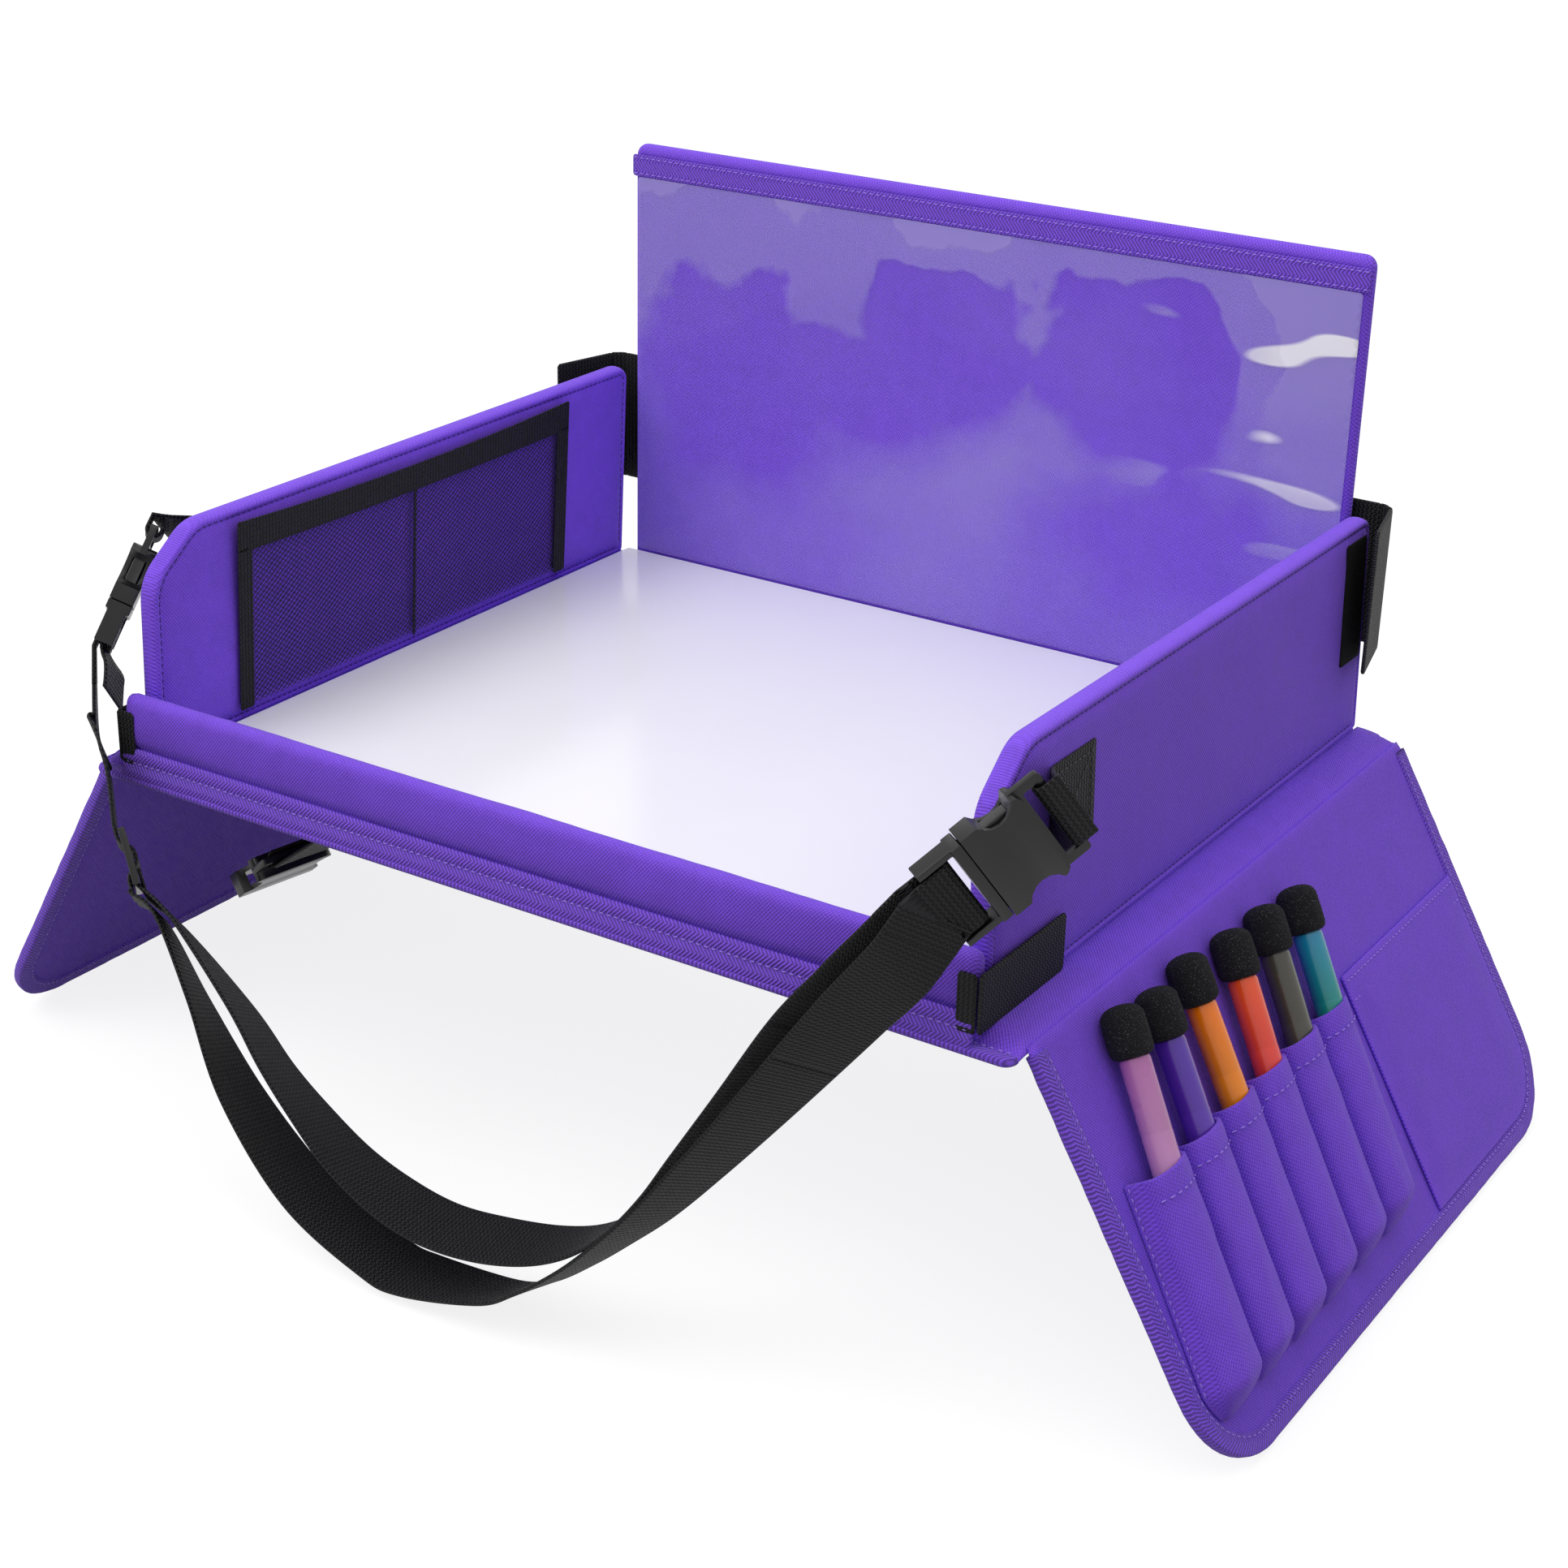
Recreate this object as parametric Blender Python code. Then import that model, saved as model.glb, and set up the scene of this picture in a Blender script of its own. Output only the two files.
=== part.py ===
"""Car seat tray table: a cloth-covered lap tray with a soft front lip, two side walls and a back panel that
fold, two splayed side flaps that stand it up, a pen flap with six markers and an adjustable strap."""

import math

import bmesh
import bpy
from mathutils import Matrix, Vector

# Tray. The tray's own frame has its origin at the centre of the writing surface, x right and y to the back.
INNER_WIDTH = 0.414
INNER_DEPTH = 0.351
FIT_GAP = 0.0003
DRY_ERASE_THICKNESS = 0.0015
BOARD_THICKNESS = 0.0067
SKIN_THICKNESS = 0.0022
RIM_THICKNESS = 0.002
HINGE_CLOTH = 0.003
SIDE_CLOTH_REACH = 0.0294
FRONT_CLOTH_REACH = 0.0131
BACK_CLOTH_REACH = 0.009

# Front lip and its flange
LIP_HEIGHT = 0.029
LIP_THICKNESS = 0.009
LIP_SKIN = 0.0012
LIP_FOOT_THICKNESS = 0.005
LIP_ROUND_STEPS = 6
LIP_BULGE_HEIGHT_SHARE = 0.3
LIP_SHOULDER_HEIGHT_SHARE = 0.72
FLANGE_BINDING_WIDTH = 0.0065
FLANGE_BINDING_SKIN = 0.0006

# Side walls
WALL_THICKNESS = 0.010
WALL_HEIGHT = 0.101
WALL_SKIN = 0.0015
WALL_LEAN = math.radians(2)
WALL_CHAMFER_DEPTH = 0.027
WALL_CHAMFER_DROP = 0.021
WALL_CHAMFER_RADIUS = 0.022
WALL_BACK_RADIUS = 0.007
WALL_FOOT_RADIUS = 0.003

# Mesh pocket on the left wall's inner face
POCKET_FRONT_Y = -0.126
POCKET_BACK_Y = 0.118
POCKET_TOP = 0.096
POCKET_FOOT = 0.004
POCKET_MOUTH = 0.0062
POCKET_FOOT_GAP = 0.001
NET_THICKNESS = 0.0008
POCKET_BAND_WIDTH = 0.015
POCKET_BAND_THICKNESS = 0.0008

# Back panel
PANEL_WIDTH = 0.402
PANEL_HEIGHT = 0.2175
PANEL_THICKNESS = 0.0088
PANEL_SKIN = 0.0014
PANEL_TOP_RADIUS = 0.004
PANEL_CORNER_RADIUS = 0.006
PANEL_FRONT_GAP = 0.0003
VINYL_THICKNESS = 0.0006
VINYL_SIDE_MARGIN = 0.003
VINYL_FOOT = 0.001
TAPE_DROP = 0.005
TAPE_WIDTH = 0.011
TAPE_THICKNESS = 0.0009

# Hook tabs at the back corners, and the loop patches under them
HOOK_TAB_FOOT = 0.036
HOOK_TAB_HEIGHT = 0.068
HOOK_TAB_THICKNESS = 0.0018
HOOK_TAB_LENGTH = 0.042
HOOK_TAB_SEWN_LENGTH = 0.026
HOOK_TAB_SPLAY = math.radians(13)
HOOK_TAB_STAND_OFF = 0.0015
LOOP_PATCH_LENGTH = 0.022
LOOP_PATCH_THICKNESS = 0.0008

# Front corner tabs
CORNER_TAB_WIDTH = 0.025
CORNER_TAB_THICKNESS = 0.0018
CORNER_TAB_LENGTH = 0.066
CORNER_TAB_SEWN_LENGTH = 0.0095
CORNER_TAB_FOOT = -0.003
CORNER_TAB_STAND_OFF = 0.0023

# Side flaps. A flap's own frame has z up along the flap to the bend, and x out from its outer face.
FLAP_LENGTH = 0.1846
FLAP_FRONT_REACH = 0.0016
FLAP_BACK_REACH = 0.0063
FLAP_THICKNESS = 0.003
FLAP_SPLAY = math.radians(30.3)
FLAP_CORNER_RADIUS = 0.040
FLAP_CORNER_STEPS = 8
FLAP_ROOT_GAP = 0.0004
BEND_CLEARANCE = 0.0015
FLAP_ROOT_SIDES = 16
BINDING_WIDTH = 0.0095
BINDING_SKIN = 0.0007

# Big pocket and pen sleeves on the right flap
BIG_POCKET_TOP = 0.063
BIG_POCKET_FRONT_MARGIN = 0.2244
BIG_POCKET_THICKNESS = 0.0014
SLEEVE_COUNT = 6
SLEEVE_PITCH = 0.031
SLEEVE_HEM = 0.064
SLEEVE_BOTTOM = 0.162
SLEEVE_FRONT_MARGIN = 0.0329
SLEEVE_SKIN = 0.0012
SLEEVE_HALF_WIDTH = 0.0138
SLEEVE_SLANT = math.radians(5.5)
SLEEVE_TAPER_START = 0.148
SLEEVE_SEAM_WIDTH = 0.0016
SLEEVE_ARCH_SHARES = ((-1, 0), (-0.98, 0.5), (-0.85, 0.9), (-0.45, 1), (0.45, 1), (0.85, 0.9), (0.98, 0.5), (1, 0))
SLEEVE_END_RISE_SHARE = 0.16
SLEEVE_END_WIDTH_SHARE = 0.5

# Markers and their foam caps
MARKER_RADIUS = 0.0063
MARKER_END_RADIUS = 0.0048
MARKER_BODY_LENGTH = 0.096
MARKER_END_TAPER = 0.006
MARKER_NECK_RADIUS = 0.0045
MARKER_NECK_LENGTH = 0.011
MARKER_CAP_RADIUS = 0.0088
MARKER_CAP_LENGTH = 0.0205
MARKER_CAP_ROUND = 0.005
MARKER_SIDES = 14
MARKER_HEM_SHIFT = 0.0035
MARKER_PUSH = 0.020
MARKER_TOPS = (0.0033, 0.0068, 0.0046, 0.0087, 0.0101, 0.0132)
MARKER_SLANTS = tuple(math.radians(degrees) for degrees in (12, 8, 6, 12, 12, 12))

# Webbing
WEBBING_WIDTH = 0.030
WEBBING_THICKNESS = 0.0016
WRAP_STEPS = 6

# Side-release buckles. A buckle's frame has its origin on the webbing bar, x to the male end, y across.
BUCKLE_WIDTH = 0.040
BUCKLE_THICKNESS = 0.011
BUCKLE_BAR_HALF = 0.0015
BUCKLE_SLOT_WIDTH = 0.0325
BUCKLE_SLOT_END = 0.0075
BUCKLE_BODY_START = 0.009
BUCKLE_FEMALE_END = 0.0355
BUCKLE_SOCKET_WIDTH = 0.0335
BUCKLE_SOCKET_THICKNESS = 0.0064
BUCKLE_SOCKET_START = 0.0125
BUCKLE_WINDOW_RADIUS = 0.0085
BUCKLE_WINDOW_X = 0.0205
BUCKLE_WINDOW_DEPTH = 0.0052
BUCKLE_WINDOW_SIDES = 16
BUCKLE_CORNER_RADIUS = 0.004
MALE_SHOULDER_LENGTH = 0.0045
MALE_WIDTH = 0.038
MALE_LENGTH = 0.0195
MALE_BAR_X = 0.0468
MALE_ARM_THICKNESS = 0.0086
MALE_END_BAR_WIDTH = 0.0024
PRONG_THICKNESS = 0.0054
PRONG_WIDTH = 0.0052
PRONG_START = 0.0145
TONGUE_WIDTH = 0.007

# Where each buckle's webbing bar lies in the tray's frame, and which way the buckle points and spreads
RIGHT_BUCKLE_BAR = (0.025, -0.0012, 0.091)
RIGHT_BUCKLE_ALONG = (-0.502, -0.631, -0.591)
RIGHT_BUCKLE_ACROSS = (0.361, 0.479, -0.803)
LEFT_BUCKLE_BAR = (-0.018, 0.0335, 0.089)
LEFT_BUCKLE_ALONG = (-0.069, -0.576, -0.814)
LEFT_BUCKLE_ACROSS = (0.66, -0.66, 0.36)
UNDER_BUCKLE_BAR = (-0.160, 0.0368, -0.049)
UNDER_BUCKLE_ALONG = (-0.74, 0.22, -0.63)
UNDER_BUCKLE_ACROSS = (0.2, 1, 0)
UNDER_TAB_START_X = -0.070
UNDER_TAB_END_X = -0.1095
UNDER_LOOP_X = -0.1115
UNDER_LOOP_SETBACK = 0.0398

# Webbing patches on the walls' outer faces
PATCH_WIDTH = 0.038
PATCH_LENGTH = 0.034
RIGHT_PATCH_REAR = (0.0778, 0.066)
LEFT_PATCH_REAR = (0.0908, 0.072)
WRAP_LEAD = 0.006
WRAP_TAIL = 0.002

# Strap adjuster
GLIDE_LENGTH = 0.026
GLIDE_WIDTH = 0.036
GLIDE_THICKNESS = 0.003
GLIDE_BAR_HALF = 0.0016
GLIDE_SLOT_END = 0.0100
STRAP_EXIT_REACH = 0.003
GLIDE_CENTRE = (-0.1925, -0.0360, -0.0358)
GLIDE_ALONG = (0.52, -0.23, -0.82)
GLIDE_ACROSS = (-0.60, 0.60, -0.53)

# The strap's route between the adjuster and the right buckle, and the way its width lies at each point.
# Each place is measured from the middle of the tray's front edge, for a tray of this half width
ROUTE_HALF_WIDTH = 0.217
OUTER_STRAP_ROUTE = (
    ((-0.1720, -0.0398, -0.0573), (-0.46, 0.68, -0.57)),
    ((-0.1457, -0.0468, -0.0853), (-0.34, 0.80, -0.50)),
    ((-0.1145, -0.0552, -0.1190), (-0.05, 0.96, -0.29)),
    ((-0.0720, -0.0626, -0.1485), (0.08, 0.99, -0.03)),
    ((-0.0289, -0.0661, -0.1627), (0.04, 0.99, 0.09)),
    ((-0.0077, -0.0665, -0.1643), (0, 0.99, 0.10)),
    ((0.0323, -0.0650, -0.1581), (0, 0.98, -0.15)),
    ((0.0503, -0.0632, -0.1495), (0.03, 0.96, -0.26)),
    ((0.0678, -0.0594, -0.1359), (0.05, 0.95, -0.28)),
    ((0.0823, -0.0560, -0.1221), (0.09, 0.95, -0.32)),
    ((0.0995, -0.0514, -0.1037), (0.17, 0.91, -0.38)),
    ((0.1185, -0.0457, -0.0795), (0.26, 0.87, -0.43)),
    ((0.1397, -0.0422, -0.0513), (0.34, 0.80, -0.49)),
    ((0.1632, -0.0422, -0.0192), (0.39, 0.68, -0.61)),
    ((0.1840, -0.0432, 0.0090), (0.38, 0.56, -0.73)),
    ((0.2030, -0.0437, 0.0340), (0.361, 0.479, -0.803)),
)
INNER_STRAP_ROUTE = (
    ((-0.1612, -0.0396, -0.0566), (-0.40, 0.68, -0.61)),
    ((-0.1215, -0.0459, -0.0819), (-0.24, 0.82, -0.51)),
    ((-0.0979, -0.0507, -0.1010), (-0.15, 0.88, -0.43)),
    ((-0.0762, -0.0542, -0.1152), (-0.06, 0.94, -0.33)),
    ((-0.0524, -0.0575, -0.1281), (0.01, 0.98, -0.17)),
    ((-0.0267, -0.0596, -0.1365), (0.02, 0.99, 0)),
    ((-0.0016, -0.0605, -0.1400), (0, 0.99, 0.10)),
    ((0.0258, -0.0599, -0.1377), (-0.04, 0.98, 0.15)),
    ((0.0519, -0.0584, -0.1317), (-0.06, 0.98, 0.08)),
    ((0.0718, -0.0562, -0.1229), (-0.07, 0.99, -0.03)),
    ((0.0878, -0.0530, -0.1101), (-0.05, 0.98, -0.14)),
    ((0.1019, -0.0488, -0.0933), (0.02, 0.97, -0.22)),
    ((0.1148, -0.0446, -0.0737), (0.12, 0.95, -0.29)),
    ((0.1368, -0.0407, -0.0410), (0.24, 0.86, -0.44)),
    ((0.1605, -0.0402, -0.0059), (0.32, 0.72, -0.61)),
    ((0.1810, -0.0407, 0.0190), (0.36, 0.60, -0.71)),
    ((0.1950, -0.0402, 0.0360), (0.361, 0.479, -0.803)),
)
LEFT_STRAP_ROUTE = (
    ((-0.2330, -0.0122, 0.0117), (-0.66, 0.66, -0.40)),
    ((-0.2201, -0.0217, 0.0053), (-0.65, 0.64, -0.44)),
    ((-0.2100, -0.0282, -0.0047), (-0.62, 0.62, -0.50)),
)
LEFT_TAIL_ROUTE = (
    ((-0.2302, -0.0017, 0.0344), (-0.55, 0.80, -0.28)),
    ((-0.2240, -0.0092, 0.0250), (-0.50, 0.82, -0.28)),
)
STRAP_STEPS = 4
TWIST_STEPS = 8

# Places worked out from the sizes above
WALL_INNER_X = INNER_WIDTH / 2
WALL_AXIS_X = WALL_INNER_X - HINGE_CLOTH
WALL_OUTER_X = WALL_INNER_X + WALL_THICKNESS
WALL_FOOT_Z = FIT_GAP - DRY_ERASE_THICKNESS
BOARD_TOP_Z = -DRY_ERASE_THICKNESS - FIT_GAP
BOARD_FOOT_Z = BOARD_TOP_Z - BOARD_THICKNESS
SKIN_TOP_Z = BOARD_FOOT_Z - FIT_GAP
SKIN_FOOT_Z = SKIN_TOP_Z - SKIN_THICKNESS
BEND_X = INNER_WIDTH / 2 + SIDE_CLOTH_REACH
BEND_Z = (SKIN_TOP_Z + SKIN_FOOT_Z) / 2
TRAY_FRONT_Y = -INNER_DEPTH / 2 - FIT_GAP
TRAY_BACK_Y = INNER_DEPTH / 2
ROUTE_SPREAD = WALL_OUTER_X / ROUTE_HALF_WIDTH
TAPE_TOP = PANEL_HEIGHT - TAPE_DROP
FLAP_FRONT_Y = TRAY_FRONT_Y - FLAP_FRONT_REACH
FLAP_BACK_Y = TRAY_BACK_Y + FLAP_BACK_REACH
SLEEVE_FIRST_Y = FLAP_FRONT_Y + SLEEVE_FRONT_MARGIN
BIG_POCKET_FRONT_Y = FLAP_FRONT_Y + BIG_POCKET_FRONT_MARGIN
UNDER_LOOP_Y = TRAY_FRONT_Y + UNDER_LOOP_SETBACK
HOOK_TAB_CORNER_X = max(WALL_OUTER_X, PANEL_WIDTH / 2 + FIT_GAP) + HOOK_TAB_STAND_OFF
CORNER_TAB_X = WALL_OUTER_X + CORNER_TAB_STAND_OFF
WALL_FRONT_Y = TRAY_FRONT_Y + 3 * FIT_GAP
LIP_BACK_Y = TRAY_FRONT_Y - 5 * FIT_GAP
LIP_FOOT_Z = SKIN_TOP_Z + FIT_GAP
SKIN_FRONT_Y = TRAY_FRONT_Y - FRONT_CLOTH_REACH
PANEL_FRONT_Y = TRAY_BACK_Y + VINYL_THICKNESS + 2 * FIT_GAP
PANEL_BACK_Y = PANEL_FRONT_Y + PANEL_THICKNESS
PANEL_AXIS_Y = PANEL_BACK_Y + FIT_GAP
PANEL_FOOT_Z = SKIN_TOP_Z + FIT_GAP
SKIN_BACK_Y = TRAY_BACK_Y + BACK_CLOTH_REACH
BINDING_HALF = FLAP_THICKNESS / 2 + FIT_GAP + BINDING_SKIN
BINDING_REACH = FIT_GAP + BINDING_SKIN
FLAP_DROP = (FLAP_LENGTH + BINDING_REACH) * math.cos(FLAP_SPLAY) + BINDING_HALF * math.sin(FLAP_SPLAY)
TRAY_HEIGHT = FLAP_DROP - BEND_Z
STRAP_FRONT_Y = TRAY_FRONT_Y + min(point[1] for point, across in OUTER_STRAP_ROUTE) - WEBBING_WIDTH / 2
HOOK_TAB_Y = PANEL_BACK_Y + FIT_GAP + HOOK_TAB_THICKNESS / 2
TRAY_SETBACK = -(STRAP_FRONT_Y + HOOK_TAB_Y + HOOK_TAB_THICKNESS / 2) / 2
WRAP_RADIUS = BUCKLE_BAR_HALF * math.sqrt(2) + FIT_GAP + WEBBING_THICKNESS / 2
FLAP_FACE_X = FLAP_THICKNESS / 2 + FIT_GAP
SLEEVE_RISE = MARKER_CAP_RADIUS + MARKER_RADIUS + SLEEVE_SKIN + 2 * FIT_GAP

SIDES = (("left", -1), ("right", 1))


# Materials

def cloth_material(name, colour):
    return surface(name, colour, roughness=0.8)


def surface(name, colour, roughness, metallic=0.0, alpha=1.0):
    """A Principled material of one colour."""
    made = bpy.data.materials.new(name)
    made.use_nodes = True
    shader = made.node_tree.nodes["Principled BSDF"]
    shader.inputs["Base Color"].default_value = (*colour, 1)
    shader.inputs["Roughness"].default_value = roughness
    shader.inputs["Metallic"].default_value = metallic
    shader.inputs["Alpha"].default_value = alpha
    made.diffuse_color = (*colour, alpha)
    return made


def make_materials():
    return {
        "purple cloth": cloth_material("purple_twill", (0.13, 0.065, 0.56)),
        "purple tape": cloth_material("purple_tape", (0.10, 0.05, 0.48)),
        "black webbing": surface("black_webbing", (0.012, 0.012, 0.014), 0.85),
        "black net": surface("black_net", (0.015, 0.012, 0.02), 0.75),
        "black plastic": surface("black_plastic", (0.018, 0.018, 0.02), 0.42),
        "board": surface("stiffener_board", (0.55, 0.47, 0.35), 0.8),
        "foam": surface("lip_foam", (0.75, 0.75, 0.72), 0.9),
        "dry erase": surface("dry_erase_film", (0.88, 0.88, 0.9), 0.18),
        "vinyl": surface("clear_vinyl", (0.75, 0.72, 0.9), 0.08, alpha=0.35),
        "cap foam": surface("cap_foam", (0.02, 0.02, 0.022), 0.95),
    }


def marker_materials():
    colours = (
        ("lilac", (0.50, 0.22, 0.55)),
        ("purple", (0.12, 0.04, 0.42)),
        ("orange", (0.85, 0.30, 0.01)),
        ("red_orange", (0.80, 0.08, 0.02)),
        ("charcoal", (0.07, 0.065, 0.06)),
        ("teal", (0.02, 0.36, 0.36)),
    )
    return [surface(f"marker_{name}", colour, 0.25) for name, colour in colours]


# Frames and objects

def direction_frame(origin, along, across):
    """A frame with x along, y across (made square to x) and z out of the two."""
    x = Vector(along).normalized()
    y = Vector(across)
    y = (y - x * y.dot(x)).normalized()
    z = x.cross(y)
    frame = Matrix((x, y, z)).transposed().to_4x4()
    frame.translation = Vector(origin)
    return frame


def empty(name, parent, frame):
    """A body's frame, given in the tray's frame."""
    made = bpy.data.objects.new(name, None)
    bpy.context.scene.collection.objects.link(made)
    made.parent = parent
    made.matrix_basis = frame
    return made


def piece(name, shape, material, body, smooth=False):
    """The object of a bmesh drawn in the tray's frame, seated in its body's frame."""
    shape.transform(body.matrix_basis.inverted() if body.parent else Matrix())
    return seated(name, shape, material, body, smooth)


def seated(name, shape, material, body, smooth=False):
    """The object of a bmesh drawn in its body's own frame."""
    shape.normal_update()
    bmesh.ops.recalc_face_normals(shape, faces=shape.faces)
    mesh = bpy.data.meshes.new(name)
    shape.to_mesh(mesh)
    shape.free()
    mesh.materials.append(material)
    if smooth:
        mesh.shade_smooth()
        mesh.set_sharp_from_angle(angle=math.radians(40))
    made = bpy.data.objects.new(name, mesh)
    bpy.context.scene.collection.objects.link(made)
    made.parent = body
    return made


def plain_object(shape):
    """A bare object of a bmesh, for use as one operand of a Boolean."""
    shape.normal_update()
    bmesh.ops.recalc_face_normals(shape, faces=shape.faces)
    mesh = bpy.data.meshes.new("operand")
    shape.to_mesh(mesh)
    shape.free()
    made = bpy.data.objects.new("operand", mesh)
    bpy.context.scene.collection.objects.link(made)
    return made


def carved(base, joined=(), cutters=()):
    """One bmesh: the base with shapes joined to it, then others cut from it."""
    target = plain_object(base)
    operands = [(shape, "UNION") for shape in joined] + [(shape, "DIFFERENCE") for shape in cutters]
    helpers = []
    for shape, operation in operands:
        helper = plain_object(shape)
        modifier = target.modifiers.new(operation.lower(), "BOOLEAN")
        modifier.operation = operation
        modifier.object = helper
        modifier.solver = "EXACT"
        helpers.append(helper)
    bpy.context.view_layer.update()
    evaluated = target.evaluated_get(bpy.context.evaluated_depsgraph_get())
    result = bmesh.new()
    result.from_mesh(evaluated.to_mesh())
    evaluated.to_mesh_clear()
    for spent in [target, *helpers]:
        bpy.data.objects.remove(spent, do_unlink=True)
    return result


# Shapes

def rounded(corners, steps=4):
    """An outline whose corners (a, b, radius) are turned into arcs."""
    outline = []
    for index, (a, b, radius) in enumerate(corners):
        here = Vector((a, b))
        before = Vector(corners[index - 1][:2]) - here
        after = Vector(corners[(index + 1) % len(corners)][:2]) - here
        if radius == 0:
            outline.append((a, b))
            continue
        half = before.angle(after) / 2
        reach = radius / math.tan(half)
        start = here + before.normalized() * reach
        centre = here + (before.normalized() + after.normalized()).normalized() * radius / math.sin(half)
        turn = (here + after.normalized() * reach - centre).angle_signed(start - centre)
        for step in range(steps + 1):
            arm = start - centre
            arm.rotate(Matrix.Rotation(turn * step / steps, 2))
            outline.append(tuple(centre + arm))
    return outline


def prism(outline, low, high, axis="Z"):
    """A closed prism of an outline: (y, z) along X, (x, z) along Y, or (x, y) along Z."""
    place = {
        "X": lambda a, b, c: (c, a, b),
        "Y": lambda a, b, c: (a, c, b),
        "Z": lambda a, b, c: (a, b, c),
    }[axis]
    shape = bmesh.new()
    ends = [[shape.verts.new(place(a, b, c)) for a, b in outline] for c in (low, high)]
    for end in ends:
        shape.faces.new(end)
    for index in range(len(outline)):
        after = (index + 1) % len(outline)
        shape.faces.new((ends[0][index], ends[0][after], ends[1][after], ends[1][index]))
    return shape


def box(low, high):
    x0, y0, z0 = low
    x1, y1, z1 = high
    return prism([(x0, y0), (x1, y0), (x1, y1), (x0, y1)], z0, z1)


def lofted(rows):
    """A closed body through rows of points, each row a closed ring with the same count."""
    shape = bmesh.new()
    rings = [[shape.verts.new(point) for point in row] for row in rows]
    shape.faces.new(rings[0])
    shape.faces.new(rings[-1])
    for ring, following in zip(rings, rings[1:]):
        for index in range(len(ring)):
            after = (index + 1) % len(ring)
            shape.faces.new((ring[index], ring[after], following[after], following[index]))
    return shape


def turned(profile, sides):
    """A closed body turned about z from (radius, height) points, whose first and last lie on the axis."""
    shape = bmesh.new()
    rings = []
    for radius, height in profile:
        angles = [math.tau * side / sides for side in range(sides if radius else 1)]
        rings.append([shape.verts.new((radius * math.cos(a), radius * math.sin(a), height)) for a in angles])
    for ring, following in zip(rings, rings[1:]):
        for side in range(sides):
            after = (side + 1) % sides
            corners = [ring[side % len(ring)], ring[after % len(ring)]]
            corners += [following[after % len(following)], following[side % len(following)]]
            shape.faces.new(list(dict.fromkeys(corners)))
    return shape


def smooth_route(stations, steps):
    """Catmull-Rom points through (place, across, width) stations."""
    rows = [(Vector(place), Vector(across).normalized(), width) for place, across, width in stations]
    rows = [rows[0], *rows, rows[-1]]

    def blend(part, a, b, c, d):
        return (
            2 * b + (c - a) * part
            + (2 * a - 5 * b + 4 * c - d) * part ** 2
            + (3 * b - a - 3 * c + d) * part ** 3
        ) / 2

    route = []
    for index in range(1, len(rows) - 2):
        for step in range(steps):
            quad = rows[index - 1:index + 3]
            route.append([blend(step / steps, *(row[k] for row in quad)) for k in range(3)])
    route.append(list(rows[-1]))
    return route


def straight_route(stations, steps):
    """Points along straight runs between (place, across, width) stations."""
    route = []
    for start, end in zip(stations, stations[1:]):
        for step in range(steps):
            share = step / steps
            route.append([a + (b - a) * share for a, b in zip(start, end)])
    route.append(list(stations[-1]))
    return route


def ribbon(route, thickness, square=True):
    """Flat webbing swept along (place, across, width) stations, its width square to the route or skewed."""
    rows = []
    for index, (place, across, width) in enumerate(route):
        ahead = route[min(index + 1, len(route) - 1)][0] - route[max(index - 1, 0)][0]
        if square:
            across = across - ahead * across.dot(ahead) / ahead.length_squared
        across = across.normalized()
        face = ahead.cross(across).normalized()
        row = []
        for side, level in ((-1, -1), (1, -1), (1, 1), (-1, 1)):
            row.append(place + across * side * width / 2 + face * level * thickness / 2)
        rows.append(row)
    shape = lofted(rows)
    bmesh.ops.triangulate(shape, faces=shape.faces, quad_method="FIXED")
    return shape


def bar_wrap(frame, bar_x, toward):
    """Stations round a buckle's bar, from its outer face, past the side toward (1) or from (-1) x, to the inner."""
    centre = frame @ Vector((bar_x, 0, 0))
    along, across, face = (frame.to_3x3().col[k] for k in range(3))
    stations = []
    for step in range(WRAP_STEPS + 1):
        angle = math.pi * step / WRAP_STEPS
        reach = face * math.cos(angle) + along * toward * math.sin(angle)
        stations.append([centre + reach * WRAP_RADIUS, across, WEBBING_WIDTH])
    return stations


def flipped(stations):
    return [(place, -across, width) for place, across, width in stations]


def seen_from_front(place):
    """A place given from the middle of the tray's front edge."""
    return Vector(place) + Vector((0, TRAY_FRONT_Y, 0))


def widened(route, width):
    """A strap's route spread to the tray's width, with its own width at each point."""
    spread = [seen_from_front((x * ROUTE_SPREAD, y, z)) for (x, y, z), across in route]
    return [(place, across, width) for place, (point, across) in zip(spread, route)]


# Tray base

def make_base(root, look):
    half = WALL_OUTER_X - FIT_GAP
    inner = half - RIM_THICKNESS
    edge_x = BEND_X - BEND_CLEARANCE - FIT_GAP
    sheet = box((-edge_x, SKIN_FRONT_Y, SKIN_FOOT_Z), (edge_x, SKIN_BACK_Y, SKIN_TOP_Z))
    rim = box((-half, TRAY_FRONT_Y, SKIN_TOP_Z - SKIN_THICKNESS / 2), (half, TRAY_BACK_Y, BOARD_TOP_Z))
    well = box((-inner, TRAY_FRONT_Y + RIM_THICKNESS, SKIN_TOP_Z), (inner, TRAY_BACK_Y - RIM_THICKNESS, WALL_HEIGHT))
    piece("base_bottom_cover", carved(sheet, [rim], [well]), look["purple cloth"], root)
    edge = FIT_GAP + RIM_THICKNESS
    piece(
        "base_stiffener_board",
        box((FIT_GAP - inner, TRAY_FRONT_Y + edge, BOARD_FOOT_Z), (inner - FIT_GAP, TRAY_BACK_Y - edge, BOARD_TOP_Z)),
        look["board"], root,
    )
    film = WALL_AXIS_X - FIT_GAP
    piece(
        "dry_erase_top",
        box((-film, WALL_FRONT_Y, BOARD_TOP_Z + FIT_GAP), (film, TRAY_BACK_Y - FIT_GAP, 0)),
        look["dry erase"], root,
    )


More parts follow.
